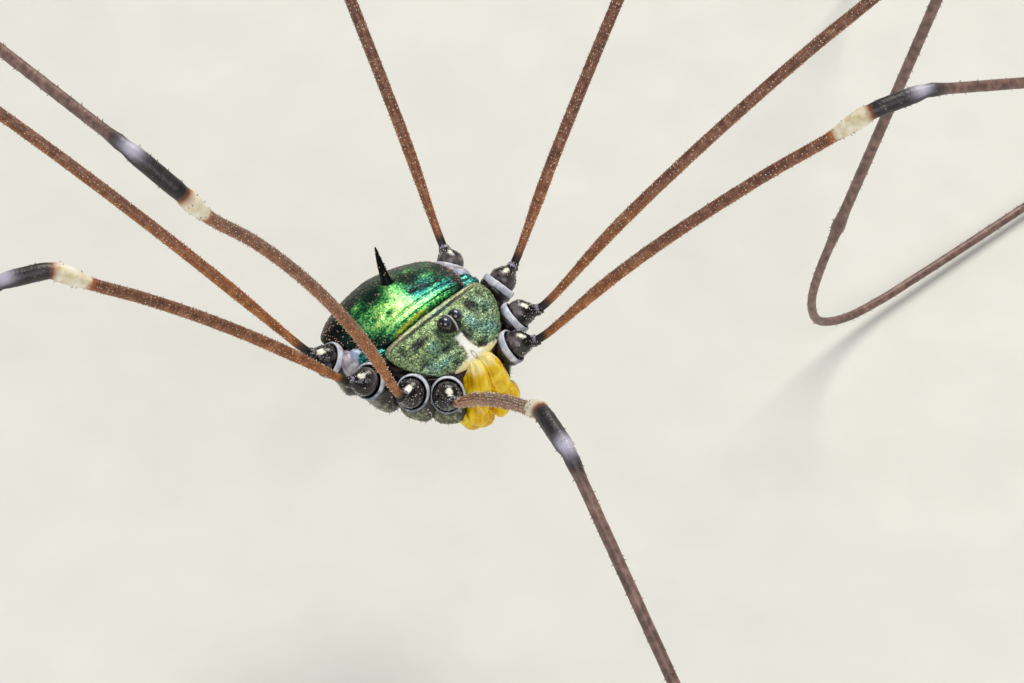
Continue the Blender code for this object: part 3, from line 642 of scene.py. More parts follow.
# the coxa's ring and its mouth: (how far behind the joint, radius)
RING_PROFILE = ((0.62, 0.62), (0.48, 0.66), (0.40, 0.655), (0.36, 0.61), (0.39, 0.54), (0.47, 0.46))
BULB_TALLNESS, RING_TALLNESS = 1.06, 1.10
# the milky ring round the trochanter: (along the ring's axis from the joint, radius)
SEAL_PROFILE = [(-0.44, 0.58), (-0.39, 0.63), (-0.31, 0.66), (-0.23, 0.668), (-0.16, 0.662), (-0.11, 0.64),
                (-0.10, 0.615), (-0.13, 0.59), (-0.19, 0.56), (-0.25, 0.52), (-0.30, 0.49)]
SEAL_ROWS, SEAL_COLUMNS = 40, 144
# the trochanter, along its own axis in the same way
TROCHANTER_PROFILE = [(-0.47, 0.12), (-0.40, 0.30), (-0.25, 0.47), (0.0, 0.54), (0.20, 0.50), (0.38, 0.39),
                      (0.52, 0.30), (0.62, 0.235), (0.69, 0.225), (0.75, 0.235), (0.82, 0.19), (0.95, 0.165)]
TROCHANTER_ROWS, TROCHANTER_COLUMNS = 64, 48
TUBERCLE_COUNT = 130
# direction of each trochanter: (turn away from straight ahead, lift), degrees
TROCHANTER_AIMS = {
    "left_1": (48.8, 7.2), "left_2": (50.8, 9.3), "left_3": (97.5, 14.5), "left_4": (151.3, 8.1),
    "right_1": (25.6, 22.5), "right_2": (76.5, 32.0), "right_3": (113.1, 23.2), "right_4": (124.0, 38.0)}
# how far each leg root of this animal sits from the even places, mm
ROOT_SHIFTS = {"left_1": (-0.10, -0.09, -0.14), "left_2": (-0.12, -0.11, -0.16),
               "left_3": (-0.12, -0.11, -0.16), "left_4": (-0.19, -0.17, -0.24),
               "right_1": (-0.05, -0.04, -0.06), "right_2": (0.0, 0.0, 0.0),
               "right_3": (0.0, 0.0, 0.0), "right_4": (0.03, -0.22, -0.12)}


def smooth_curve(points, count):
    """Evenly counted points on a smooth curve through some points of any dimension."""
    table = np.array(points, float)
    steps = np.linalg.norm(np.diff(table[:, :min(3, table.shape[1])], axis=0), axis=1)
    places = np.concatenate([[0], np.cumsum(steps)])
    return between(table, places, np.linspace(0, places[-1], count))


def heading_of(side, turn, lift):
    """A unit vector from a turn away from straight ahead and a lift above level, in degrees."""
    turn, lift = math.radians(turn), math.radians(lift)
    level = math.cos(lift)
    return np.array((side * math.sin(turn) * level, -math.cos(turn) * level, math.sin(lift)))


def across(heading):
    """A level side vector and an up vector square to a heading."""
    side = unit(np.cross(heading, (0.0, 0.0, 1.0)))
    return side, np.cross(side, heading)


def turned(profile, origin, axis, columns, tallness):
    """A grid of points turned round an axis from a profile of (along, radius)."""
    side, lift = across(axis)
    c, s = circle(columns)
    ring = c[:, None] * side + s[:, None] * lift * tallness
    return origin + profile[:, 0][:, None, None] * axis + profile[:, 1][:, None, None] * ring[None]


# Coxa cuticle: polished brown-black above, and grey-green below with black dots 0.075 mm apart.
coxa_shell, coxa_shader = new_finish("cuticle_coxa_dark", Roughness=0.30)
place = add_node(coxa_shell, "TexCoord", {}, out="Object")
dots = add_node(coxa_shell, "TexVoronoi", {"Scale": per_mm(0.075), "Vector": place})
mottle = add_node(coxa_shell, "TexNoise", {"Scale": per_mm(0.16), "Detail": 4.0, "Vector": place})
dot_share, low_tone, high_tone = (
    add_node(coxa_shell, "ValToRGB", {"Fac": source}, stops) for source, stops in (
    (dots, [(0.22, "#ffffff"), (0.36, "#000000")]),
    (mottle, [(0.34, "#24281c"), (0.5, "#585e45"), (0.60, "#868a6a"), (0.72, "#b6b696")]),
    (mottle, [(0.35, "#0c0a0a"), (0.6, "#1e1614"), (0.75, "#3c3029")])))
low_tone = layered(coxa_shell, low_tone, (dot_share, 1.0, "#14140f"))
tone = layered(coxa_shell, high_tone, ("low", 1.0, low_tone), ("speck", 1.0, "#d8ccc4"))
relief = add_node(coxa_shell, "Bump", {"Strength": 0.3, "Distance": 0.00002, "Height": dots})
join(coxa_shader, {"Base Color": tone, "Normal": relief})

# Joint membrane: thin, milky and faintly lilac, with fine crinkles, painted shade in slate on its lower,
# sagging side and toward its root, and painted shadow in near black on its inner lip by the trochanter.
membrane, membrane_shader = new_finish("joint_membrane_milky", Roughness=0.36, Subsurface_Weight=0.15,
                                       Subsurface_Radius=(0.0002, 0.00015, 0.00015), Subsurface_Scale=1.0)
place = add_node(membrane, "TexCoord", {}, out="Object")
milk = add_node(membrane, "TexNoise", {"Scale": per_mm(0.35), "Detail": 3.0, "Vector": place})
crinkle = add_node(membrane, "TexNoise", {"Scale": per_mm(0.12), "Detail": 3.0, "Vector": place})
milk_tone = add_node(membrane, "ValToRGB", {"Fac": milk},
                     [(0.35, "#b9bccf"), (0.55, "#dde1ec"), (0.7, "#f5f7fb")])
tone = layered(membrane, milk_tone, ("slate", 1.0, "#6d7687"), ("inner", 1.0, "#1c1a20"))
relief = add_node(membrane, "Bump", {"Strength": 0.6, "Distance": 0.00004, "Height": crinkle})
join(membrane_shader, {"Base Color": tone, "Normal": relief})

# Trochanter cuticle: polished black with a painted mauve sheen on top, a painted cream highlight, a painted
# lilac highlight on the neck, and pale specks that are partly painted glints.
bulb, bulb_shader = new_finish("cuticle_trochanter_black", Roughness=0.17)
place = add_node(bulb, "TexCoord", {}, out="Object")
haze = add_node(bulb, "TexNoise", {"Scale": per_mm(0.4), "Detail": 3.0, "Vector": place})
pores = add_node(bulb, "TexNoise", {"Scale": per_mm(0.09), "Detail": 2.0, "Vector": place})
haze_share = add_node(bulb, "ValToRGB", {"Fac": haze}, [(0.36, "#1c1c1c"), (0.66, "#d8d8d8")])
tone = layered(bulb, linear("#0d090b"), ("bloom", haze_share, "#94888c"), ("lilac", 1.0, "#9a92b0"),
               ("spot", 1.0, "#f4f3e0"))
relief = add_node(bulb, "Bump", {"Strength": 0.35, "Distance": 0.00003, "Height": pores})
join(bulb_shader, {"Base Color": tone, "Normal": relief})

neck_ends = {}
for side, word in ((1, "left"), (-1, "right")):
    for pair in (1, 2, 3, 4):
        label = f"{word}_{pair}"
        draw = random.Random(40 + pair * 2 + side)
        joint = np.array(TROCHANTERS[pair]) * (side, 1, 1) + ROOT_SHIFTS[label]
        root = np.array((side * COXA_ROOTS[pair][0], COXA_ROOTS[pair][1], 0.0))
        way = (joint - root) * (1, 1, 0)
        out = unit(way)
        ring_axis = out * math.cos(COXA_LIFT) + np.array((0, 0, math.sin(COXA_LIFT)))
        sideways = np.array((-out[1], out[0], 0.0))
        c, s = circle(COXA_COLUMNS)
        stations = []
        for share, half_width, top, bottom in COXA_SECTIONS:
            half_width *= COXA_WIDENING[pair] ** share
            centre = root + way * share
            centre[2] = (top + bottom) / 2 + joint[2] * share
            high = np.array((0, 0, (top - bottom) / 2))
            boxy = [np.sign(wave) * np.abs(wave) ** COXA_SQUARENESS for wave in (c, s)]
            stations.append(centre + half_width * boxy[0][:, None] * sideways + boxy[1][:, None] * high)
        ring_side, ring_up = across(ring_axis)
        if np.dot(ring_side, sideways) < 0:
            ring_side = -ring_side
        for back, radius in RING_PROFILE:
            ring = c[:, None] * ring_side + s[:, None] * ring_up * RING_TALLNESS
            stations.append(joint - ring_axis * back + radius * ring)
        coxa_grid = smooth_curve(np.array(stations).reshape(len(stations), -1), COXA_ROWS)
        coxa_grid = coxa_grid.reshape(COXA_ROWS, COXA_COLUMNS, 3)
        coxa_normal = outward(coxa_grid)
        coxa_grain = grain(coxa_grid, 0.20, 2, pair)
        coxa_grid = coxa_grid + coxa_normal * (0.022 * coxa_grain)[..., None]
        # the grey-green underside, with black seams toward the coxae beside it
        sideness = np.abs(coxa_normal @ sideways)
        aside = np.abs((coxa_grid - joint) @ sideways) / COXA_WIDENING[pair]
        low = clip((-0.85 - coxa_grid[..., 2] + 0.15 * coxa_grain) / 0.40)
        low *= clip((0.74 - sideness + 0.08 * coxa_grain) / 0.12)
        low *= clip((0.56 - aside + 0.03 * coxa_grain) / 0.06)
        coxa = Build("low", "speck")
        coxa.add_grid(coxa_grid, low=low)
        for _ in range(COXA_BUMPS):
            row, column = draw.randrange(14, 52), draw.randrange(COXA_COLUMNS)
            height = coxa_grid[row, column, 2]
            if 0.35 < sideness[row, column] < 0.97 and -1.5 < height < 0.3:
                size = draw.uniform(0.022, 0.040)
                coxa.stand(coxa_grid[row, column], coxa_normal[row, column], size, size, DOMED, 6,
                           speck=draw.choice((0.1, 0.9, 1.0)))
            elif height <= -0.5 and draw.random() >= 0.4:
                lean = unit(coxa_normal[row, column] + np.array((0, 0, -0.5)))
                coxa.stand(coxa_grid[row, column], lean, 0.014, draw.uniform(0.07, 0.14), POINTED, 4, low=1.0)
        coxa.finish(f"coxa_plate_{label}", coxa_shell, "leg_root", f"coxa_{label}")

        profile = smooth_curve(SEAL_PROFILE, SEAL_ROWS)
        profile[:, 0] += 0.008 * np.sin(np.arange(SEAL_ROWS) * 1.7)
        seal_grid = turned(profile, joint, ring_axis, SEAL_COLUMNS, RING_TALLNESS)
        c, s = circle(SEAL_COLUMNS)
        streaks = ripples(np.stack([3.5 * c, 3.5 * s, 0 * c + pair], axis=-1))
        seal_grid = seal_grid + outward(seal_grid) * (0.012 * streaks)[None, :, None]
        # slate: painted shade on the lower, sagging side, along the crinkles and toward the coxa
        sag = ((seal_grid - joint) @ ring_up) / 0.66
        slate = clip((-0.05 - sag + 0.25 * grain(seal_grid, 0.4, 1, pair)) / 0.35)
        slate = clip(slate + 0.7 * streaks + 0.45 * clip((-0.26 - profile[:, 0]) / 0.10)[:, None] - 0.1)
        # inner: painted shadow, near black, on the inner lip in the gap by the trochanter
        inner = clip((0.605 - profile[:, 1]) / 0.02) * (np.arange(SEAL_ROWS) > SEAL_ROWS // 2)
        seal = Build("slate", "inner")
        seal.add_grid(seal_grid, slate=slate, inner=inner[:, None] * np.ones(SEAL_COLUMNS))
        seal.finish(f"joint_membrane_{label}", membrane, "leg_root")

        aim = heading_of(side, *TROCHANTER_AIMS[label])
        neck_ends[label] = joint + aim * 0.80
        profile = smooth_curve(TROCHANTER_PROFILE, TROCHANTER_ROWS)
        bulb_grid = turned(profile, joint, aim, TROCHANTER_COLUMNS, BULB_TALLNESS)
        bulb_normal = outward(bulb_grid)
        rough = grain(bulb_grid, 0.16, 2, pair + 7.0)
        along = (bulb_grid - joint) @ aim
        far = clip((along - 0.15) / 0.25) * clip((0.80 - along) / 0.08)
        bulb_grid = bulb_grid + bulb_normal * (0.008 * rough + 0.012 * far * rough)[..., None]
        upward = bulb_normal[..., 2]
        # the cream spot is a painted highlight, set on top and tilted toward the camera, where the lamp's
        # highlight falls
        cap = unit(aim * 0.10 + np.array((side * 0.10, -0.10, 1.0)) + np.array(CAMERA_BACK) * 0.25)
        spot_at = joint + cap * 0.50 + aim * 0.12
        apart = (bulb_grid - spot_at) @ np.stack([aim, np.cross(aim, cap), cap * 0.6], axis=-1)
        apart = np.linalg.norm(apart * (0.8, 1.15, 1.0), axis=-1)
        spot = clip((0.125 - apart * (1 + 0.45 * grain(bulb_grid, 0.10, 1, pair + 3.0))) / 0.035)
        # bloom: a painted mauve sheen on the upward-facing near part of the bulb
        bloom = clip(upward * 1.5 + 0.35 * rough) * clip((0.34 - along + 0.10 * rough) / 0.45)
        trochanter = Build("bloom", "spot", "lilac")
        # lilac: a painted highlight on top of the trochanter's narrow neck
        trochanter.add_grid(bulb_grid, bloom=bloom, spot=spot,
                            lilac=bell(along, 0.71, 0.05) * clip(upward * 2.2 - 0.5 + 0.5 * rough))
        for _ in range(TUBERCLE_COUNT):
            row, column = draw.randrange(26, 60), draw.randrange(TROCHANTER_COLUMNS)
            if spot[row, column] > 0:
                continue
            size = draw.uniform(0.014, 0.028)
            lean = unit(bulb_normal[row, column] + aim * 0.4)
            # tubercle tips get pale specks, partly their own pale colour and partly painted glints
            trochanter.stand(bulb_grid[row, column], lean, size, size * 1.6, POINTED, 6,
                             spot=draw.choice((0.0, 0.2, 0.5, 0.85)))
        trochanter.finish(f"trochanter_{label}", bulb, "leg_root")

# The legs: one skin each from the femur to the foot.
# Long slender tubes of hard cuticle. The femur is orange-brown with rows of pale spinules and
# ends in a cream swelling, the knee is dark grey with a lilac highlight painted on top of its end,
# and the rest fades to mauve brown down to one small claw.
LEG_STEP = 0.16                       # mm between two rings of a leg's skin
LEG_COLUMNS = 16
SEGMENTS = ("femur", "patella", "tibia", "metatarsus", "tarsus")
THIGH_START, THIGH, SWELLING_RISE = 0.165, 0.235, 0.130    # radii along the femur, mm
KNEE, SHIN, FAR_SHIN = 0.33, 0.22, 0.185                   # patella, tibia and metatarsus
FOOT, FOOT_TIP = 0.16, 0.075
CREAM_LENGTH = 1.82                   # how far before the knee the swelling's cream starts, mm
SPINULE_ROWS = 8
SPINULE_SPACING = 0.15
WARMTH = {"right_4": 0.30, "right_1": 0.10}   # how much more orange a leg is than the others
SOLE = 0.015                          # how far the lowest skin stays above the floor, mm
CLAW_ROWS, CLAW_COLUMNS = 9, 8


def centreline(node, start):
    """The middles of a limb's rings of points in mm, from the end nearest to a start."""
    points = np.array([v.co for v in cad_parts[node].data.vertices]) - np.array(BODY)
    points = np.unique(np.round(points / MM, 3), axis=0)
    left = list(range(len(points)))
    middles = []
    while left:
        group = [left.pop()]
        for member in group:
            close = [i for i in left if np.linalg.norm(points[i] - points[member]) < 0.55]
            group += close
            left = [i for i in left if i not in close]
        middles.append(points[group].mean(axis=0))
    ordered = []
    here = start
    while middles:
        nearest = min(range(len(middles)), key=lambda i: np.linalg.norm(middles[i] - here))
        here = middles.pop(nearest)
        ordered.append(here)
    return ordered


def resampled(points, step):
    """Points at an even spacing along a curve, and the length run at each."""
    points = np.array(points)
    places = np.concatenate([[0], np.cumsum(np.linalg.norm(np.diff(points, axis=0), axis=1))])
    at = np.linspace(0, places[-1], max(2, int(round(places[-1] / step)) + 1))
    return np.stack([np.interp(at, places, points[:, n]) for n in range(3)], axis=-1), at


def ease(x, low, high):
    """Rises smoothly from 0 at low to 1 at high."""
    share = clip((x - low) / (high - low))
    return share * share * (3 - 2 * share)


# Leg cuticle: satin, brown above and orange below on the femur, with specks 0.08 mm across where
# the pale tubercles stand; the colours of the other segments follow one another down the leg.
leg_shell, leg_shader = new_finish("cuticle_leg_satin", Roughness=0.42)
place = add_node(leg_shell, "TexCoord", {}, out="Object")
mottle = add_node(leg_shell, "TexNoise", {"Scale": per_mm(0.35), "Detail": 4.0, "Vector": place})
speck = add_node(leg_shell, "TexVoronoi", {"Scale": per_mm(0.11), "Vector": place})
speck_share = add_node(leg_shell, "ValToRGB", {"Fac": speck}, [(0.14, "#ffffff"), (0.24, "#000000")])
upper, lower, shin_tone, knee_tone, cream = (
    add_node(leg_shell, "ValToRGB", {"Fac": mottle}, stops) for stops in (
        [(0.3, "#553225"), (0.5, "#704633"), (0.7, "#8e6450")],
        [(0.3, "#7c4012"), (0.5, "#9c581e"), (0.7, "#b87638")],
        [(0.3, "#54403b"), (0.5, "#775a52"), (0.7, "#947468")],
        [(0.3, "#181517"), (0.6, "#2e292c"), (0.8, "#4a4347")],
        [(0.3, "#d6c490"), (0.5, "#ece2c6"), (0.7, "#f8f3e6")]))
tone = layered(leg_shell, upper, ("under", 1.0, lower), ("shin", 1.0, shin_tone), ("knee", 1.0, knee_tone),
               ("lilac", 1.0, "#bdb9cc"), ("swelling", 1.0, cream), ("edge", 1.0, "#a85a20"),
               ("black", 1.0, "#120c0c"), ("speckle", speck_share, "#e0bf98"), ("spinule", 1.0, "#f0dfc4"))
relief = add_node(leg_shell, "Bump", {"Strength": 0.4, "Distance": 0.00003, "Height": speck})
join(leg_shader, {"Base Color": tone, "Normal": relief})

for side, word in ((1, "left"), (-1, "right")):
    for pair in (1, 2, 3, 4):
        label = f"{word}_{pair}"
        draw = random.Random(70 + pair * 2 + side)
        aim = heading_of(side, *TROCHANTER_AIMS[label])
        start = neck_ends[label]
        line = [start - aim * 0.16, start - aim * 0.02]
        breaks = []
        for segment in SEGMENTS:
            middles = centreline(f"{segment}_{label}", line[-1])
            if len(middles) > 2:
                middles = list(smooth_curve(middles, 24 * (len(middles) - 1)))
            if segment == "femur":
                reach = np.linalg.norm(np.array(middles) - middles[0], axis=1)
                middles = list(middles + np.exp(-(reach / 2.5) ** 2)[:, None] * ROOT_SHIFTS[label])
            breaks.append(middles[0])
            line += middles
        line, run = resampled(line, LEG_STEP)
        for _ in range(3):
            line[1:-1] = (line[:-2] + 2 * line[1:-1] + line[2:]) / 4
        # where each segment starts along the leg
        starts = [run[np.argmin(np.linalg.norm(line - point, axis=1))] for point in breaks]
        femur_at, patella_at, tibia_at, metatarsus_at, tarsus_at = starts
        end = run[-1]
        femur_length = patella_at - femur_at
        radius = THIGH_START + (THIGH - THIGH_START) * ease(run, femur_at + 0.3,
                                                            femur_at + 0.2 * femur_length)
        radius += SWELLING_RISE * ease(run, patella_at - 2.1, patella_at - 0.7)
        radius = np.where(run > patella_at - 0.15, KNEE - 0.02 * bell(run, tibia_at, 0.4), radius)
        radius = np.where(run > tibia_at - 0.1, SHIN + 0.07 * ease(run, tibia_at + 1.0, tibia_at), radius)
        radius += 0.07 * bell(run, metatarsus_at - 0.5, 0.6)
        radius = np.where(run > metatarsus_at, FAR_SHIN + 0.03 * bell(run, metatarsus_at, 0.6), radius)
        foot = FOOT - (FOOT - FOOT_TIP) * (run - tarsus_at) / (end - tarsus_at)
        radius = np.where(run > tarsus_at, foot, radius)
        for joint_at, pinch in zip(starts[1:], (0.09, 0.08, 0.07, 0.05)):
            radius = radius - pinch * bell(run, joint_at - 0.15, 0.11)
        radius = np.convolve(np.pad(radius, 1, mode="edge"), np.array((1, 2, 1)) / 4, mode="valid")

        headings = np.gradient(line, axis=0)
        headings /= np.linalg.norm(headings, axis=1, keepdims=True)
        side_way = across(headings[0])[0]
        c, s = circle(LEG_COLUMNS)
        spokes = []
        for heading in headings:
            side_way = unit(side_way - heading * np.dot(side_way, heading))
            up_way = np.cross(side_way, heading)
            spokes.append(c[:, None] * side_way + s[:, None] * up_way)
        spokes = np.array(spokes)
        rings = line[:, None] + spokes * radius[:, None, None]
        rings = rings + spokes * (grain(rings, 0.14, 1, pair) * 0.010)[..., None]
        floor_z = -BODY.z / MM + SOLE
        rings[..., 2] = np.maximum(rings[..., 2], floor_z)
        at = np.repeat(run[:, None], LEG_COLUMNS, 1)
        ragged = at + 0.12 * grain(rings, 0.3, 1, 2.0)
        cream_at = patella_at - CREAM_LENGTH
        knee_near, knee_far = patella_at - 0.22, tibia_at + 0.1
        black = 1 - ease(ragged, femur_at - 0.20, femur_at + 0.20)
        near_share = 1 - ease(at, femur_at, femur_at + 0.55 * femur_length)
        under = clip(0.30 + WARMTH.get(label, 0.0) - 0.8 * spokes[..., 2] + 0.75 * near_share)
        on_femur = (at < cream_at - 0.23) * (at > femur_at)
        leg = Build("under", "swelling", "edge", "knee", "lilac", "shin", "black", "speckle", "spinule")
        # lilac: a painted highlight on top of the knee's end
        leg.add_grid(rings, under=under, black=black, shin=ease(at, patella_at - 0.1, patella_at),
                     swelling=ease(ragged, cream_at - 0.10, cream_at + 0.10) * (at < knee_near),
                     edge=clip(bell(ragged, cream_at - 0.07, 0.14) + bell(at, patella_at - 0.24, 0.08)),
                     knee=ease(at, knee_near, knee_near + 0.10) * (1 - ease(at, knee_far, knee_far + 1.0)),
                     lilac=bell(at, tibia_at - 0.34, 0.36) * clip(spokes[..., 2] * 1.8),
                     speckle=0.55 * on_femur * (1 - black))
        here = femur_at + 0.35
        while here < metatarsus_at:
            on_thigh = here < patella_at - 1.7
            for row in range(SPINULE_ROWS):
                if draw.random() < (0.12 if on_thigh else 0.75):
                    continue
                shift = draw.uniform(-0.06, 0.06) + (row % 2) * 0.5 * SPINULE_SPACING
                near = min(len(line) - 2, int(np.searchsorted(run, here + shift)))
                column = int((row + draw.random()) * LEG_COLUMNS / SPINULE_ROWS) % LEG_COLUMNS
                lean = unit(spokes[near, column] + headings[near] * 0.55)
                size = draw.uniform(0.018, 0.030)
                tall = draw.uniform(0.05, 0.09) if on_thigh else draw.uniform(0.07, 0.12)
                leg.stand(rings[near, column], lean, size, tall, POINTED, 4,
                          spinule=draw.choice((0.2, 0.55, 1.0)) if on_thigh else 0.1,
                          shin=0.0 if on_thigh else 1.0, black=black[near, column], under=under[near, column])
            here += SPINULE_SPACING if on_thigh else SPINULE_SPACING * 1.6
        while here < end - 0.3:
            near = min(len(line) - 2, int(np.searchsorted(run, here)))
            column = draw.randrange(LEG_COLUMNS)
            if rings[near, column, 2] > floor_z + 0.12:
                lean = unit(spokes[near, column] * 0.5 + headings[near])
                leg.stand(rings[near, column], lean, 0.016, draw.uniform(0.14, 0.24), POINTED, 3, shin=1.0)
            here += 0.22
        share = np.linspace(0, 1, CLAW_ROWS)[:, None]
        centres = line[-1] + headings[-1] * 0.30 * share + np.array((0, 0, -0.02)) * share
        centres[:, 2] = np.maximum(centres[:, 2], floor_z + 0.03)
        c, s = circle(CLAW_COLUMNS)
        claw = c[:, None] * side_way + s[:, None] * up_way
        claw = centres[:, None] + claw[None] * (0.055 * (1 - share) + 0.008)[..., None]
        leg.add_grid(claw, shin=1.0, black=1.0)
        leg.finish(f"leg_{label}", leg_shell, "femur", *(f"{segment}_{label}" for segment in SEGMENTS))

# The mouthparts: a pair of chelicerae in front and a pedipalp at each side.
# Soft waxy yellow cuticle, swollen and ridged lengthwise. The chelicerae splay out and down from the
# ivory band and end in small pincers, and the short palps curl inward beneath them.
# Paths are (x, y, z, radius), mm, and the right side mirrors them.
CHELICERA_BASE = [(0.27, -1.78, 0.06, 0.22), (0.33, -1.97, -0.20, 0.38), (0.42, -2.15, -0.58, 0.47),
                  (0.54, -2.32, -1.02, 0.50), (0.66, -2.45, -1.42, 0.44), (0.74, -2.52, -1.62, 0.26)]
CHELICERA_HAND = [(0.68, -2.44, -1.36, 0.30), (0.80, -2.60, -1.62, 0.40), (0.92, -2.74, -1.90, 0.39),
                  (1.01, -2.85, -2.12, 0.32), (1.05, -2.90, -2.24, 0.18)]
CHELICERA_FINGER = [(1.00, -2.86, -2.12, 0.16), (1.00, -2.93, -2.28, 0.09), (0.93, -2.94, -2.38, 0.03)]
PALP = [(1.10, -1.80, -1.60, 0.24), (1.16, -2.02, -2.00, 0.33), (1.12, -2.18, -2.18, 0.30),
        (1.00, -2.32, -2.34, 0.37), (0.84, -2.44, -2.46, 0.37), (0.69, -2.52, -2.49, 0.31),
        (0.52, -2.60, -2.46, 0.36), (0.30, -2.66, -2.38, 0.32), (0.14, -2.66, -2.28, 0.18)]
# (path, rows, how closely its folds stand, half widths of its oval section, bristles)
CHELICERA_PARTS = [(CHELICERA_BASE, 70, 1.7, (1.10, 0.95), 4), (CHELICERA_HAND, 60, 1.5, (1.05, 0.90), 12),
                   (CHELICERA_FINGER, 24, 0.5, (1.0, 0.8), 4)]
CHELICERA_COLUMNS = 64
PALP_ROWS, PALP_COLUMNS = 100, 56
PALP_BRISTLES = 50
CHELICERA_BROAD_WAY, PALP_BROAD_WAY = (0.67, 0.75, 0.0), (0.0, -0.75, 0.66)   # of the oval sections
MIDLINE_GAP = 0.012                   # from each chelicera to the body's middle, mm
RIGHT_LIFT = 0.16                     # mm the tips of the right side's mouthparts are held higher
BRISTLE_WIDTH = 0.012
# soft folds between the chelicerae, darkened as painted shade as far as they are not pale: (middle, radii,
# share of pale)
MOUTH_FOLDS = [((0.0, -1.89, -0.12), (0.76, 0.16, 0.18), 0.55),
               ((0.0, -2.16, -1.10), (0.50, 0.26, 0.90), 0.0),
               ((0.0, -2.34, -2.00), (0.66, 0.26, 0.50), 0.0)]


def limb_grid(path, rows, columns, ridges, broad_way, oval):
    """A bent tube with lengthwise ridges, and how deep in a furrow each of its points is."""
    curve = smooth_curve(path, rows)
    centres, radii = curve[:, :3], np.maximum(curve[:, 3], 0.01)
    ways = np.gradient(centres, axis=0)
    ways /= np.linalg.norm(ways, axis=1, keepdims=True)
    broad = np.array(broad_way) - ways * (ways @ np.array(broad_way))[:, None]
    broad /= np.linalg.norm(broad, axis=1, keepdims=True)
    narrow = np.cross(broad, ways)
    c, s = circle(columns)
    drift = (1.3 * np.arange(rows) / rows + path[0][0])[:, None]
    ribs = 3.4 * np.abs(ripples(np.stack(np.broadcast_arrays(c * ridges, s * ridges, drift), axis=-1))) - 0.8
    spokes = oval[0] * c[:, None] * broad[:, None] + oval[1] * s[:, None] * narrow[:, None]
    return centres[:, None] + (radii[:, None] * (1 + 0.11 * ribs))[..., None] * spokes, clip(-ribs) ** 2


def held(grid, side, seed):
    """A left part's points as they are on a side, the right side's tips higher, and their dents."""
    grid = grid * (side, 1, 1)
    if side < 0:
        grid[..., 2] += RIGHT_LIFT * ease(-grid[..., 2], 0.6, 1.8)
    dents = grain(grid, 0.26, 2, seed)
    return grid + outward(grid) * (0.020 * dents)[..., None], dents


def bristle(piece, grid, row, column, droop, longest, draw):
    """Sets one fine bristle on a limb's grid."""
    way = unit(grid[row, column] - grid[row].mean(axis=0)) + np.array((0, -droop, -droop))
    piece.stand(grid[row, column], unit(way), BRISTLE_WIDTH, draw.uniform(0.05, longest), POINTED, 4,
                pale=0.9)


# Waxy yellow cuticle: lemon where light gathers and mustard as painted shade in the creases and dents, a
# little translucent.
waxy, waxy_shader = new_finish("cuticle_waxy_yellow", Roughness=0.26, Subsurface_Weight=0.08,
                               Subsurface_Radius=(0.0003, 0.0002, 0.00005), Subsurface_Scale=1.0)
place = add_node(waxy, "TexCoord", {}, out="Object")
vein = add_node(waxy, "TexNoise",
                {"Scale": per_mm(0.45), "Detail": 4.0, "Distortion": 0.6, "Vector": place})
grit = add_node(waxy, "TexVoronoi", {"Scale": per_mm(0.09), "Vector": place})
waxy_tone = add_node(waxy, "ValToRGB", {"Fac": vein}, [(0.3, "#d29e00"), (0.5, "#f2c600"), (0.7, "#ffe23a")])
tone = layered(waxy, waxy_tone, ("pale", 1.0, "#f3e9a4"), ("crease", 1.0, "#a06c00"))
relief = add_node(waxy, "Bump", {"Strength": 0.25, "Distance": 0.00002, "Height": grit})
join(waxy_shader, {"Base Color": tone, "Normal": relief})

for side, word in ((1, "left"), (-1, "right")):
    draw = random.Random(90 + side)
    pincer = Build("pale", "crease")
    for path, rows, ridges, oval, bristles in CHELICERA_PARTS:
        grid, furrow = limb_grid(path, rows, CHELICERA_COLUMNS, ridges, CHELICERA_BROAD_WAY, oval)
        grid[..., 0] = np.maximum(grid[..., 0], MIDLINE_GAP)
        grid, dents = held(grid, side, side)
        # crease: painted shade in the furrows between the ridges and in the dents
        pincer.add_grid(grid, pale=ease(grid[..., 2], -0.22, 0.06) * 0.7,
                        crease=np.clip(0.60 * furrow - dents * 0.35 - 0.20, 0, 0.6))
        for _ in range(bristles):
            row, column = draw.randrange(rows // 3, rows - 6), draw.randrange(CHELICERA_COLUMNS)
            bristle(pincer, grid, row, column, 0.3, 0.09, draw)
    pincer.finish(f"chelicera_skin_{word}", waxy, "mouthparts", f"chelicera_{word}")
    palp = Build("pale", "crease")
    grid, furrow = limb_grid(PALP, PALP_ROWS, PALP_COLUMNS, 1.3, PALP_BROAD_WAY, (1.0, 1.0))
    grid, dents = held(grid, side, side + 5)
    # crease: painted shade in the palp's dents and furrows
    palp.add_grid(grid, crease=np.clip(0.3 * furrow - dents * 0.8 - 0.30, 0, 0.9))
    for _ in range(PALP_BRISTLES):
        row, column = draw.randrange(20, PALP_ROWS - 4), draw.randrange(PALP_COLUMNS)
        bristle(palp, grid, row, column, 0.2, 0.10, draw)
    palp.finish(f"pedipalp_skin_{word}", waxy, "mouthparts", f"pedipalp_{word}")
folds = Build("pale", "crease")
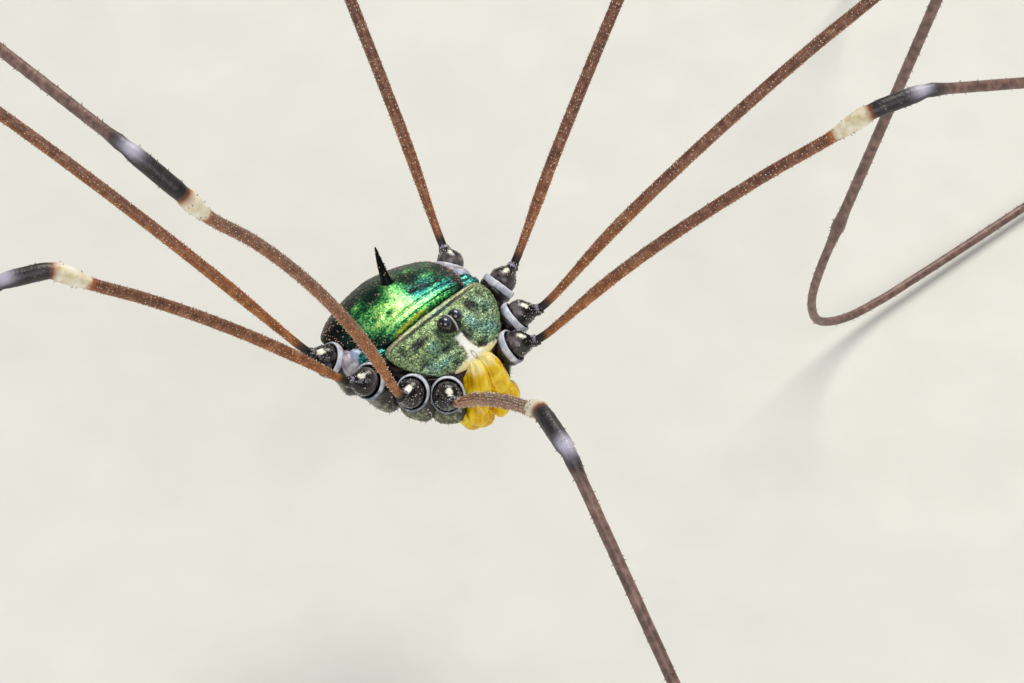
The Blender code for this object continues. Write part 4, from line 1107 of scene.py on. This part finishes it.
for middle, radii, pale_share in MOUTH_FOLDS:
    # crease: painted shade on the folds between the chelicerae
    folds.add_grid(lobe(middle, radii, 0.10), pale=pale_share, crease=0.35 * (1 - pale_share))
folds.finish("mouth_fold_skin", waxy, "mouthparts")

# The belly: the sternum with the genital plate between the coxae, and the sternites behind.
# Grey-green plates of thin cuticle, the same as under the coxae, each overlapping the next with a
# dark seam between.
STERNUM_SECTIONS = [
    (-1.62, 0.16, -0.40, -1.80), (-1.40, 0.50, -0.40, -1.98), (-0.80, 0.72, -0.30, -2.16),
    (0.20, 0.86, -0.20, -2.26), (1.20, 0.86, -0.30, -2.22), (1.90, 0.80, -0.50, -2.10),
    (2.20, 0.66, -0.60, -1.98)]
STERNITE_SECTIONS = [
    (1.95, 1.30, -0.60, -1.90), (2.30, 1.90, -0.60, -2.02), (2.90, 2.36, -0.50, -1.94),
    (3.40, 2.40, -0.50, -1.72), (3.90, 1.96, -0.50, -1.40), (4.20, 1.20, -0.46, -1.12),
    (4.34, 0.50, -0.46, -0.92)]
BELLY_ROWS, BELLY_COLUMNS = 110, 110
BELLY_RIM, BELLY_PEAK = 0.75, 0.85
PLATE_EDGES = (2.20, 2.62, 3.02, 3.42, 3.80, 4.08)
for name, sections, node in (("sternum_plate", STERNUM_SECTIONS, "sternum"),
                             ("sternite_plates", STERNITE_SECTIONS, "sternites")):
    grid = shell_points(sections, BELLY_ROWS, BELLY_COLUMNS, BELLY_RIM, BELLY_PEAK)
    plate_y = grid[..., 1]
    seams = sum(bell(plate_y + 0.03 * np.cos(grid[..., 0] * 1.2), edge, 0.035) for edge in PLATE_EDGES)
    steps = sum(ease(plate_y, edge - 0.28, edge) * (plate_y < edge) for edge in PLATE_EDGES)
    relief = 0.03 * steps - 0.05 * seams + 0.012 * grain(grid, 0.3, 2, 4.0)
    plate = Build("low", "speck")
    plate.add_grid(grid + outward(grid) * relief[..., None], low=clip(1 - seams * 1.4))
    plate.finish(name, coxa_shell, "belly", node)
